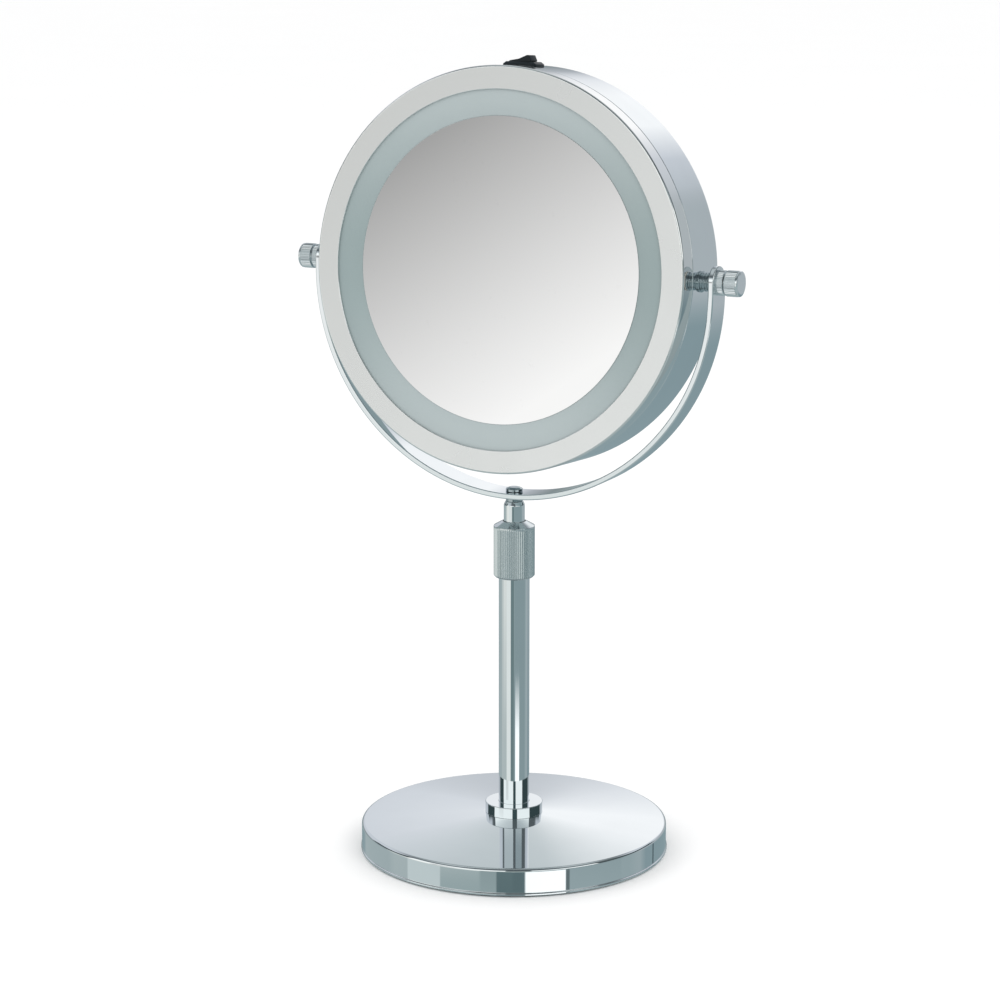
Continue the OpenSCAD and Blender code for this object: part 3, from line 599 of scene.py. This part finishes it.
def makeScrew():
    s = screwShape
    low, high, outer = nodeBox("yoke_screw", stand)
    under = high[2] - s["headHigh"]
    outline = roundProfile([
        (0, low[2], 0), (s["shank"], low[2], s["end"]), (s["shank"], under, crisp), (outer, under, slight),
        (outer, high[2] - s["dome"], s["brow"]), (outer * s["crown"], high[2], s["crownRound"]),
        (0, high[2], 0)], closed=False)
    standFor(turned("yoke_screw_skin", outline, stand, 96, closed=False), "yoke_screw", darkChrome)


yokeShape = {"thick": 2.4 * mm, "edge": 0.55 * mm, "steps": 220, "tipSteps": 26, "cornerSteps": 5,
             "tipWidth": 0.02 * mm}


def makeYoke():
    # Path: a quarter circle of the arm's rounded tip, the straight arm, half a turn below, and back up.
    # The section is a rounded rectangle whose width is 2 * half * cos(t) over the tips and full elsewhere.
    s = yokeShape
    low, high, _ = nodeBox("yoke_band", stand)
    reach, half = high[0], high[1]
    pivot = tiltPoint[2]
    middle = reach - s["thick"] / 2
    centre = low[2] + reach
    tip = np.linspace(0.5 * math.pi, 0, s["tipSteps"])
    bend = np.linspace(0, math.pi, s["steps"])
    tipX, tipZ = np.full(len(tip), -middle), pivot + half * np.sin(tip)
    arcX, arcZ = -middle * np.cos(bend), centre - middle * np.sin(bend)
    pathX = np.concatenate([tipX, arcX, -tipX[::-1]])
    pathZ = np.concatenate([tipZ, arcZ, tipZ[::-1]])
    outX = np.concatenate([np.full(len(tip), -1.0), -np.cos(bend), np.full(len(tip), 1.0)])
    outZ = np.concatenate([np.zeros(len(tip)), -np.sin(bend), np.zeros(len(tip))])
    width = half * np.concatenate([np.cos(tip), np.ones(len(bend)), np.cos(tip[::-1])])
    width = np.maximum(width, s["tipWidth"])
    swing = np.linspace(0, 0.5 * math.pi, s["cornerSteps"] + 1)
    fillet = np.minimum(s["edge"], width * 0.95)
    across, through, sideN, outN = [], [], [], []
    for turn in range(4):                                  # one corner of the section at a time
        angle = swing + turn * 0.5 * math.pi
        signY, signT = np.sign(math.cos(angle[2])), np.sign(math.sin(angle[2]))
        across.append(signY * (width - fillet)[:, None] + fillet[:, None] * np.cos(angle))
        through.append(signT * (s["thick"] / 2 - fillet)[:, None] + fillet[:, None] * np.sin(angle))
        sideN.append(np.broadcast_to(np.cos(angle), across[-1].shape))
        outN.append(np.broadcast_to(np.sin(angle), across[-1].shape))
    across, through, sideN, outN = (np.concatenate(a, 1) for a in (across, through, sideN, outN))
    grid = np.stack([pathX[:, None] + outX[:, None] * through, across,
                     pathZ[:, None] + outZ[:, None] * through], 2)
    lift = np.concatenate([np.sin(tip), np.zeros(len(bend)), np.sin(tip[::-1])])[:, None] * np.abs(sideN)
    shade = np.stack([outX[:, None] * outN, sideN * np.sqrt(np.maximum(1 - lift ** 2, 0)),
                      outZ[:, None] * outN + lift * np.abs(sideN)], 2)
    shade /= np.linalg.norm(shade, axis=2, keepdims=True)
    rows, columns = grid.shape[:2]
    index = np.arange(rows * columns).reshape(rows, columns)
    pairs = np.arange(columns // 2 - 1)
    caps = [np.stack([row[pairs], row[pairs + 1], row[columns - 2 - pairs], row[columns - 1 - pairs]], 1)
            for row in (index[0], index[-1][::-1])]
    quads = np.concatenate([rowQuads(index)] + caps)
    piece = addMesh("yoke_band_skin", grid.reshape(-1, 3), quads, shade.reshape(-1, 3))
    standFor(piece, "yoke_band")


studHole = 2.05 * mm
knobShape = {"flutes": 36, "depth": 0.34 * mm, "cap": 1.1 * mm, "capStep": 0.12 * mm, "capRound": 0.9 * mm,
             "groove": 0.25 * mm, "grooveLow": 0.15 * mm, "grooveRound": 0.08 * mm, "neck": 0.6 * mm,
             "neckIn": 1.2 * mm, "stud": 2.0 * mm, "dome": 1.1 * mm, "domeRound": 1.2 * mm, "gap": 0.1 * mm,
             "grip": 0.5 * mm, "root": 0.05 * mm, "fluteLip": 0.02 * mm}


def makeKnob(side, place):
    s = knobShape
    low, high, outer = nodeBox(side + "_knob", place)
    neckR, neckFoot = outer - s["neckIn"], nodeBox(side + "_ring", place)[1][2] + s["gap"]
    grip = neckFoot + s["neck"]
    fluteEnd = high[2] - s["cap"]
    capR = outer - s["capStep"]
    outline = roundProfile([
        (0, low[2], 0), (s["stud"], low[2], eased), (s["stud"], neckFoot, s["root"]),
        (neckR, neckFoot, s["grooveLow"]), (neckR, grip, crisp), (outer, grip, eased),
        (outer, fluteEnd - s["grooveLow"], s["fluteLip"]),
        (capR - s["groove"], fluteEnd, s["grooveRound"]),
        (capR, fluteEnd + s["groove"], s["grooveLow"]), (capR, high[2] - eased, s["capRound"]),
        (capR - s["dome"], high[2], s["domeRound"]), (0, high[2], 0)], closed=False)
    flutes = {"count": s["flutes"], "depth": s["depth"], "low": grip + s["gap"],
              "high": fluteEnd - s["root"], "least": outer - s["grip"]}
    piece = turned(side + "_knob_skin", outline, place, s["flutes"] * 10, closed=False, flutes=flutes)
    standFor(piece, side + "_knob")


ringShape = {"flutes": 36, "depth": 0.34 * mm, "edge": 0.3 * mm, "grip": 0.4 * mm}


def makeRing(side, place):
    s = ringShape
    low, high, outer = nodeBox(side + "_ring", place)
    face, foot, top = outer - s["edge"], low[2] + s["edge"], high[2] - s["edge"]
    outline = roundProfile([
        (studHole, low[2], crisp), (face, low[2], crisp), (outer, foot, crisp), (outer, top, crisp),
        (face, high[2], crisp), (studHole, high[2], crisp)])
    flutes = {"count": s["flutes"], "depth": s["depth"], "low": low[2] + s["edge"] * 0.5,
              "high": high[2] - s["edge"] * 0.5, "least": outer - s["grip"]}
    standFor(turned(side + "_ring_skin", outline, place, s["flutes"] * 10, flutes=flutes), side + "_ring")


postShape = {"thread": 3.0 * mm, "end": 4.5 * mm, "waist": 3.6 * mm, "flare": 0.75 * mm,
             "flareRound": 0.25 * mm, "rim": 0.15 * mm, "root": 0.05 * mm, "ribs": 3, "ribHigh": 0.42 * mm,
             "ribStart": 0.18, "ribEnd": 0.82, "ribCrown": 0.18 * mm, "ribFoot": 0.12 * mm}


def makePost(side, place):
    # flared ends with a few turned ribs between them
    s = postShape
    low, high, _ = nodeBox(side + "_post", place)
    casing, out = headRadius, high[2]
    first = casing + s["flare"]
    pitch = (out - casing - 2 * s["flare"]) / s["ribs"]
    ribR = s["waist"] + s["ribHigh"]
    ribs = []
    for k in range(s["ribs"]):
        start, stop = first + pitch * (k + s["ribStart"]), first + pitch * (k + s["ribEnd"])
        middle = (start + stop) / 2
        ribs += [(s["waist"], start, s["ribFoot"]), (ribR, middle - s["ribCrown"], s["rim"]),
                 (ribR, middle + s["ribCrown"], s["rim"]), (s["waist"], stop, s["ribFoot"])]
    outline = roundProfile(
        [(studHole, low[2], crisp), (s["thread"], low[2], slight), (s["thread"], casing, s["root"]),
         (s["end"], casing, crisp), (s["end"], first, s["flareRound"])] + ribs
        + [(s["end"], out - s["flare"], s["flareRound"]), (s["end"], out, s["rim"]), (studHole, out, crisp)])
    # the posts take the darker copy of the chrome, a painted shade
    standFor(turned(side + "_post_skin", outline, place, 96), side + "_post", shadedPostChrome)


def makeWasher(side, place):
    low, high, outer = nodeBox(side + "_friction_washer", place)
    outline = roundProfile([(studHole, low[2], crisp / 2), (outer, low[2], crisp), (outer, high[2], crisp),
                            (studHole, high[2], crisp / 2)])
    standFor(turned(side + "_friction_washer_skin", outline, place, 96), side + "_friction_washer")


casingShape = {"sheet": 1.2 * mm, "bevel": 0.8 * mm, "bevelRound": 0.5 * mm, "ledge": 2.0 * mm,
               "ledgeDeep": 5.6 * mm, "lip": 1.2 * mm, "mouth": 0.15 * mm, "rim": 10 * mm,
               "rimRound": 0.4 * mm, "recess": 2.6 * mm}
bezelShape = {"spigotGap": 0.1 * mm, "spigot": 1.1 * mm, "spigotLen": 4.0 * mm, "spigotRoot": 2 * mm,
              "shoulder": 3 * mm, "lip": 1.0 * mm, "edge": 0.9 * mm, "inner": 0.35 * mm,
              "satinDeep": 0.25 * mm}


def makeDrum():
    s = casingShape
    low, high, outer = nodeBox("casing_drum", drumPlace)
    bore, opening = outer - s["sheet"], outer - s["rim"]
    seam, rear = low[2], high[2]
    ledge, inside = rear - s["ledgeDeep"], rear - s["sheet"]
    outline = roundProfile([
        (bore, seam, crisp), (outer, seam, eased), (outer, rear - s["bevel"], s["bevelRound"]),
        (outer - s["bevel"], rear, s["bevelRound"]), (opening, rear, s["rimRound"]),
        (opening, ledge + s["lip"], s["mouth"]), (opening - s["ledge"], ledge + s["lip"], slight),
        (opening - s["ledge"], ledge, slight), (opening + s["lip"], ledge, slight),
        (opening + s["lip"], inside, slight), (bore, inside, eased)])
    standFor(turned("casing_drum_skin", outline, drumPlace, 512), "casing_drum")


def rimMask(points):
    # 1 on the flat front rim, fading out over its rounded edges
    front = points[:, 2].min()
    return np.clip(1 - (points[:, 2] - front) / bezelShape["satinDeep"], 0, 1)


def makeBezel():
    s, b = casingShape, bezelShape
    low, high, outer = nodeBox("front_bezel", drumPlace)
    front, seam = low[2], high[2] - b["spigotLen"]
    opening, bore = outer - s["rim"], outer - s["sheet"]
    spigot, spigotIn = bore - b["spigotGap"], bore - b["spigotGap"] - b["spigot"]
    recess, inside, ledge = front + s["recess"], front + s["sheet"], opening + b["lip"]
    outline = roundProfile([
        (opening, front, b["inner"]), (outer, front, b["edge"]), (outer, seam, eased), (spigot, seam, crisp),
        (spigot, high[2], slight), (spigotIn, high[2], slight), (spigotIn, seam - b["spigotRoot"], slight),
        (bore, seam - b["shoulder"], slight), (bore, inside, eased), (ledge, inside, slight),
        (ledge, recess, crisp), (opening, recess, crisp)])
    mask = {"name": "rimFace", "rule": rimMask}
    piece = turned("front_bezel_skin", outline, drumPlace, 512, attribute=mask)
    standFor(piece, "front_bezel", rimChrome)


ringCrown = {"rise": 0.5 * mm, "lift": 1.8 * mm, "steps": 24, "inset": 0.02 * mm, "gap": 0.03 * mm,
             "step": 0.01 * mm}


def ringSideShade(points):
    # painted shade for the ring's sides: cube of the cosine of the angle round the ring, 1 at both sides and 0 at
    # the top and bottom
    return np.abs(points[:, 0] / np.maximum(np.hypot(points[:, 0], points[:, 1]), 1e-9)) ** 3


def makeDiffuser():
    # the ring's face is crowned and climbs to the rim: rise * (1 - u * u) + lift * (1 + u) / 2,
    # for u from -1 at the glass to 1 at the rim
    s = casingShape
    low, high, outer = nodeBox("light_diffuser", drumPlace)
    inner = nodeBox("front_mirror", drumPlace)[2] + ringCrown["gap"]
    seen = headRadius - s["rim"]
    face, back = low[2], high[2]
    u = np.linspace(1, -1, ringCrown["steps"])
    halfWidth = (seen - inner) / 2
    radius = (seen + inner) / 2 + halfWidth * u
    rise, lift = ringCrown["rise"], ringCrown["lift"]
    crown = np.stack([radius, face + ringCrown["inset"] - rise * (1 - u * u) - lift * (1 + u) / 2], 1)
    slope = (2 * rise * u - lift / 2) / halfWidth
    crownNormal = np.stack([slope, -np.ones(len(u))], 1)
    crownNormal /= np.linalg.norm(crownNormal, axis=1, keepdims=True)
    hidden = np.array([[inner, face], [inner, back], [outer, back], [outer, face],
                       [seen + ringCrown["step"], face]])
    turns = np.array([[-1.0, 0], [-0.7, 0.7], [0.7, 0.7], [0.7, -0.7], [0, -1.0]])
    outline = (np.concatenate([hidden[::-1], crown[::-1]]), np.concatenate([turns[::-1], crownNormal[::-1]]))
    # through this attribute the ring's two sides are painted darker, as shade
    mask = {"name": "ringSideShade", "rule": ringSideShade}
    standFor(turned("light_diffuser_skin", outline, drumPlace, 384, attribute=mask), "light_diffuser")


glassShape = {"arris": 0.06 * mm}


def makeFrontMirror():
    low, high, outer = nodeBox("front_mirror", drumPlace)
    arris = glassShape["arris"]
    outline = roundProfile([(0, low[2], 0), (outer, low[2], arris), (outer, high[2], arris),
                            (0, high[2], 0)], closed=False)
    standFor(turned("front_mirror_skin", outline, drumPlace, 384, closed=False), "front_mirror")


rearShape = {"focus": 750 * mm, "thick": 2.5 * mm, "steps": 40, "arris": 0.1 * mm, "face": 4 * mm,
             "lap": 0.3 * mm, "ring": 1.0 * mm, "outerEdge": 0.45 * mm, "innerEdge": 0.35 * mm,
             "lip": 0.15 * mm}


def makeRearMirror():
    # hollow magnifying glass: depth at radius r is (R * R - r * r) / (2 * focus)
    s = rearShape
    low, high, outer = nodeBox("rear_mirror", drumPlace)
    edge = high[2]
    radius = np.linspace(0, outer - s["arris"], s["steps"])
    hollow = (outer ** 2 - radius ** 2) / (2 * s["focus"])
    slope = -radius / s["focus"]
    rearFace = np.stack([radius, edge - hollow], 1)[::-1]
    frontFace = np.stack([radius, edge - s["thick"] - hollow], 1)
    rearNormal = np.stack([slope, np.ones(len(radius))], 1)[::-1]
    frontNormal = -np.stack([slope, np.ones(len(radius))], 1)
    side = np.array([[outer, edge - s["thick"] + s["arris"]], [outer, edge - s["arris"]]])
    points = np.concatenate([frontFace, side, rearFace])
    normals = np.concatenate([frontNormal, [[1, 0], [1, 0]], rearNormal])
    normals /= np.linalg.norm(normals, axis=1, keepdims=True)
    standFor(turned("rear_mirror_skin", (points, normals), drumPlace, 384, closed=False), "rear_mirror")


def makeRearBezel():
    s = rearShape
    low, high, outer = nodeBox("rear_bezel", drumPlace)
    face = high[2]
    inner, under, ring = outer + s["lap"] - s["face"], face - s["ring"], outer - s["ring"]
    outline = roundProfile([
        (ring, low[2], crisp), (outer, low[2], slight), (outer, face, s["outerEdge"]),
        (inner, face, s["innerEdge"]), (inner, under, s["lip"]), (ring, under, slight)])
    standFor(turned("rear_bezel_skin", outline, drumPlace, 512), "rear_bezel")


switchShape = {"flange": 1.5 * mm, "taper": 1.3 * mm, "brim": 0.45 * mm, "brimRound": 0.35 * mm,
               "shoulder": 0.5 * mm, "opening": 1.9 * mm, "openingRound": 0.12 * mm, "deep": 4.4 * mm,
               "well": 0.6 * mm, "bodyIn": 1.2 * mm, "foot": 1 * mm, "corner": 1.6 * mm, "seat": 0.9 * mm}
# corners of the rocker's side, from its pin, with their fillets, all in millimetres
rockerShape = {"wide": 3.2 * mm, "tip": 9.0, "edge": 0.26 * mm,
               "side": [(-2, -1.9, 0.4), (2, -1.9, 0.4), (5.1, 0.4, 0.4), (4.4, 2.9, 0.45), (3.4, 3.1, 0.5),
                        (-0.6, 2.1, 2.5), (-4.9, 2.0, 0.35), (-5.3, 1.6, 0.35), (-5.1, 0.4, 0.4)]}


def makeSwitch():
    # flange with sloping shoulders, a well for the rocker and the body under it
    s = switchShape
    low, high, _ = nodeBox("switch_body", headPlace)
    half = (high[:2] - low[:2]) / 2
    centre = (high + low) / 2
    place = makePlace(tiltPoint + centre[0] * headPlace["side"] + centre[1] * headPlace["face"],
                      headPlace["side"], headPlace["face"], headPlace["along"])
    top = high[2]
    seat, well, brim = top - s["flange"] - s["seat"], top - s["deep"], top - s["flange"] + s["brim"]
    outline, _ = roundProfile([
        (-s["bodyIn"] - s["foot"], low[2], 0), (-s["bodyIn"], low[2], eased), (-s["bodyIn"], seat, crisp),
        (0, seat, crisp), (0, brim, s["brimRound"]), (-s["taper"], top, s["shoulder"]),
        (-s["opening"], top, s["openingRound"]), (-s["opening"], well, slight),
        (-s["opening"] - s["well"], well, 0)], closed=False, step=15)
    standFor(stacked("switch_body_skin", outline, half, s["corner"], place), "switch_body")


def makeRocker():
    # wedge with a raised finger stop, resting tipped about its pin
    s = rockerShape
    low, high, _ = nodeBox("switch_rocker", headPlace)
    pin = (np.array(joints["switch_rock"]["pos_m"]) - tiltPoint) @ headPlace["along"]
    middle = (low[1] + high[1]) / 2
    tip = math.radians(s["tip"])
    side, along = headPlace["side"], headPlace["along"]
    place = makePlace(tiltPoint + middle * headPlace["face"] + pin * along,
                      math.cos(tip) * side + math.sin(tip) * along, headPlace["face"],
                      math.cos(tip) * along - math.sin(tip) * side)
    outline = roundProfile([tuple(mm * size for size in corner) for corner in s["side"]])
    standFor(extruded("switch_rocker_skin", outline, s["wide"], s["edge"], place), "switch_rocker")


studioShape = {"lens": 103.3, "sensor": 36.0, "far": 200.0, "distance": 1.2162, "azimuth": 26.4,
               "height": 0.4211, "down": 12.24, "left": 0.292, "floor": 40.0, "aim": 0.15, "lamp": 1.2,
               "horizon": 24.0}


def makeCamera():
    s = studioShape
    around = math.radians(s["azimuth"])
    data = bpy.data.cameras.new("camera")
    data.lens, data.sensor_width, data.clip_end = s["lens"], s["sensor"], s["far"]
    camera = bpy.data.objects.new("camera", data)
    camera.location = (s["distance"] * math.sin(around), -s["distance"] * math.cos(around), s["height"])
    camera.rotation_euler = (math.radians(90 - s["down"]), 0, around + math.radians(s["left"]))
    bpy.context.scene.collection.objects.link(camera)
    bpy.context.scene.camera = camera


def makeFloor():
    half = studioShape["floor"] / 2
    points = np.array([[-half, -half, 0], [half, -half, 0], [half, half, 0], [-half, half, 0]], float)
    floor = addMesh("floor", points, np.array([[0, 1, 2, 3]]))
    shader = Shader("paleFloor")
    tone = shader.noise(3.0, 2.0)
    shader.coat(Base_Color=shader.blend(tone, (0.93, 0.93, 0.93), (0.92, 0.92, 0.92)), Roughness=0.9,
                Specular_IOR_Level=0.1)
    floor.data.materials.append(shader.material)
    floor.visible_glossy = False


# Panels of the studio as chrome sees them: centre and half width around the stand from the camera's side,
# centre and half height above the horizon, softness of the edge, all in degrees, and the panel's light
panels = [
    (-45, 60, -3, 14, 8, (0.62, 0.67, 0.66)),           # wall on the left
    (-50, 36, 0, 14, 6, (1.0, 1.0, 0.97)),
    (93, 58, -16, 12, 6, (0.34, 0.42, 0.44)),           # wall on the right
    (44, 44, -13.5, 5.5, 2, (0.27, 0.35, 0.37)),
    (180, 78, 26, 19, 12, (0.67, 0.70, 0.76)),          # paler wall behind
    (165.5, 17, 26, 13, 10, (1.08, 1.08, 1.10)),
    (184, 9, 33, 8, 7, (0.52, 0.58, 0.60)),
    (128, 26, -2, 15, 10, (0.45, 0.495, 0.525)),
    (160, 46, -28, 14, 8, (0.26, 0.345, 0.375)),        # floor behind
    (-42, 16, -12, 7.2, 1.5, (0.84, 0.88, 0.87)),       # soft box on the left
    (-35, 22, -22, 2.6, 1.0, (0.35, 0.43, 0.44)),
    (-72, 15, -21, 2.6, 1.0, (0.60, 0.67, 0.68)),
    (-2.5, 10.5, -21.6, 2.7, 1.0, (0.12, 0.176, 0.188)),
    (-13, 12.2, -14, 5.2, 2.2, (0.17, 0.24, 0.25)),
    (24, 15.5, -19.5, 3.2, 1.2, (1.25, 1.27, 1.28)),    # strip light on the right
    (40.6, 1.5, -20.5, 3.0, 0.8, (0.14, 0.18, 0.19)),
    (130, 0.9, -20.5, 3.0, 0.5, (0.06, 0.09, 0.10)),
    (180, 125, 90, 36, 16, (0.50, 0.55, 0.57)),         # ceiling
    (-45, 39, 29, 6, 3, (0.55, 0.60, 0.63)),
    (39, 26, 29, 6, 3, (0.34, 0.40, 0.43)),
    (-45, 39, 16, 10, 1.5, (1.15, 1.18, 1.18)),         # two long overhead strips
    (39, 26, 16, 10, 1.5, (1.15, 1.18, 1.18)),
    (3, 9, 16, 10, 1.2, (0.05, 0.085, 0.09)),
    (96, 31, 15, 9, 2, (0.045, 0.07, 0.075)),
    (-106, 22, 15, 9, 2, (0.045, 0.07, 0.075)),
]
# The card that the flat glass sees: its tone is middle + across * (angle from centre)
# + upward * (height from centre)
glassCard = {"centre": (-52.8, -0.4), "half": 10.0, "soft": 4.0, "middle": 0.43, "across": 0.105,
             "upward": -0.142, "dark": (0.38, 0.38, 0.38), "pale": (1.0, 1.0, 1.0)}
upperWall, lowerWall, roomLight = (0.12, 0.14, 0.15), (0.40, 0.47, 0.485), (1.1, 1.1, 1.1)


def makeWorld():
    world = bpy.data.worlds.new("studio")
    bpy.context.scene.world = world
    world.use_nodes = True
    world.cycles.sampling_method = "NONE"               # gloss and plain light see different rooms
    world.node_tree.nodes.clear()
    sky = Shader(tree=world.node_tree)
    way = sky.add("ShaderNodeTexCoord", output=0)
    turnedWay = sky.add("ShaderNodeVectorRotate", {"rotation_type": "Z_AXIS"},
                        {"Vector": way, "Angle": -math.radians(studioShape["azimuth"])})
    across = sky.add("ShaderNodeSeparateXYZ", None, {"Vector": turnedWay}, output=0)
    split = across.socket.node
    depth, up = Wire(sky, split.outputs[1]), Wire(sky, split.outputs[2])
    around = across.join("ARCTAN2", across, depth * -1.0) * math.degrees(1)
    height = up.join("ARCSINE", up) * math.degrees(1)

    def panelMask(centre, half, middle, tall, soft):
        offset = (around - centre).absolute()
        wrapped = offset.join("MINIMUM", offset, 360.0 - offset)
        inAcross = ((half - wrapped) / soft + 0.5).clamped()
        return inAcross * ((tall - (height - middle).absolute()) / soft + 0.5).clamped()

    lower = (0.5 - height / studioShape["horizon"]).clamped()
    light = sky.blend(lower, upperWall, lowerWall)
    for centre, half, middle, tall, soft, colour in panels:
        light = sky.blend(panelMask(centre, half, middle, tall, soft), light, colour)
    c = glassCard
    middle, level = c["centre"]
    tone = ((around - middle) * c["across"] + (height - level) * c["upward"] + c["middle"]).clamped()
    card = panelMask(middle, c["half"], level, c["half"], c["soft"])
    light = sky.blend(card, light, sky.blend(tone, c["dark"], c["pale"]))
    glossy = sky.add("ShaderNodeLightPath", output=3)
    shown = sky.blend(glossy, roomLight, light)
    back = sky.add("ShaderNodeBackground", None, {"Color": shown, "Strength": 1.0})
    sky.add("ShaderNodeOutputWorld", None, {"Surface": back})


def addArea(name, spot, power):
    # a soft round lamp turned to the middle of the stand
    data = bpy.data.lights.new(name, "AREA")
    data.shape, data.size, data.energy = "DISK", studioShape["lamp"], power
    lamp = bpy.data.objects.new(name, data)
    lamp.location = spot
    aim = np.array([0, 0, studioShape["aim"]]) - np.array(spot)
    lamp.rotation_euler = (math.atan2(math.hypot(aim[0], aim[1]), -aim[2]), 0,
                           math.atan2(aim[0], -aim[1]) + math.pi)
    lamp.visible_glossy = False
    bpy.context.scene.collection.objects.link(lamp)


makeCamera()
makeFloor()
makeWorld()
addArea("keyLight", (1.5, -0.9, 1.5), 7.0)
addArea("fillLight", (-1.3, -1.2, 1.7), 3.5)
bpy.context.scene.view_settings.view_transform = "Standard"
print("studio set")

headRadius = nodeBox("casing_drum", drumPlace)[2]
darkChrome = plated("darkChrome", (0.42, 0.47, 0.49), 0.04, 0.04)
gripChrome = plated("gripChrome", (0.70, 0.745, 0.75), 0.16, 0.04)
# a darker copy of the chrome for the posts: painted shade for the dark they show
shadedPostChrome = plated("shadedPostChrome", (0.50, 0.56, 0.58), 0.03, 0.03)
rimChrome = plated("rimChrome", (0.86, 0.87, 0.86), 0.025, 0.03, mask={"name": "rimFace", "extra": 0.24})
makeBase()
makeCollar()
print("base and collar made")
makeTube()
makeNut()
makeRod()
makeNeck()
makeScrew()
print("column made")
makeYoke()
for side, place in (("left", leftPlace), ("right", rightPlace)):
    makeKnob(side, place)
    makeRing(side, place)
    makePost(side, place)
    makeWasher(side, place)
print("yoke and knobs made")
makeDrum()
makeBezel()
makeDiffuser()
makeFrontMirror()
makeRearMirror()
makeRearBezel()
makeSwitch()
makeRocker()
print("head made")
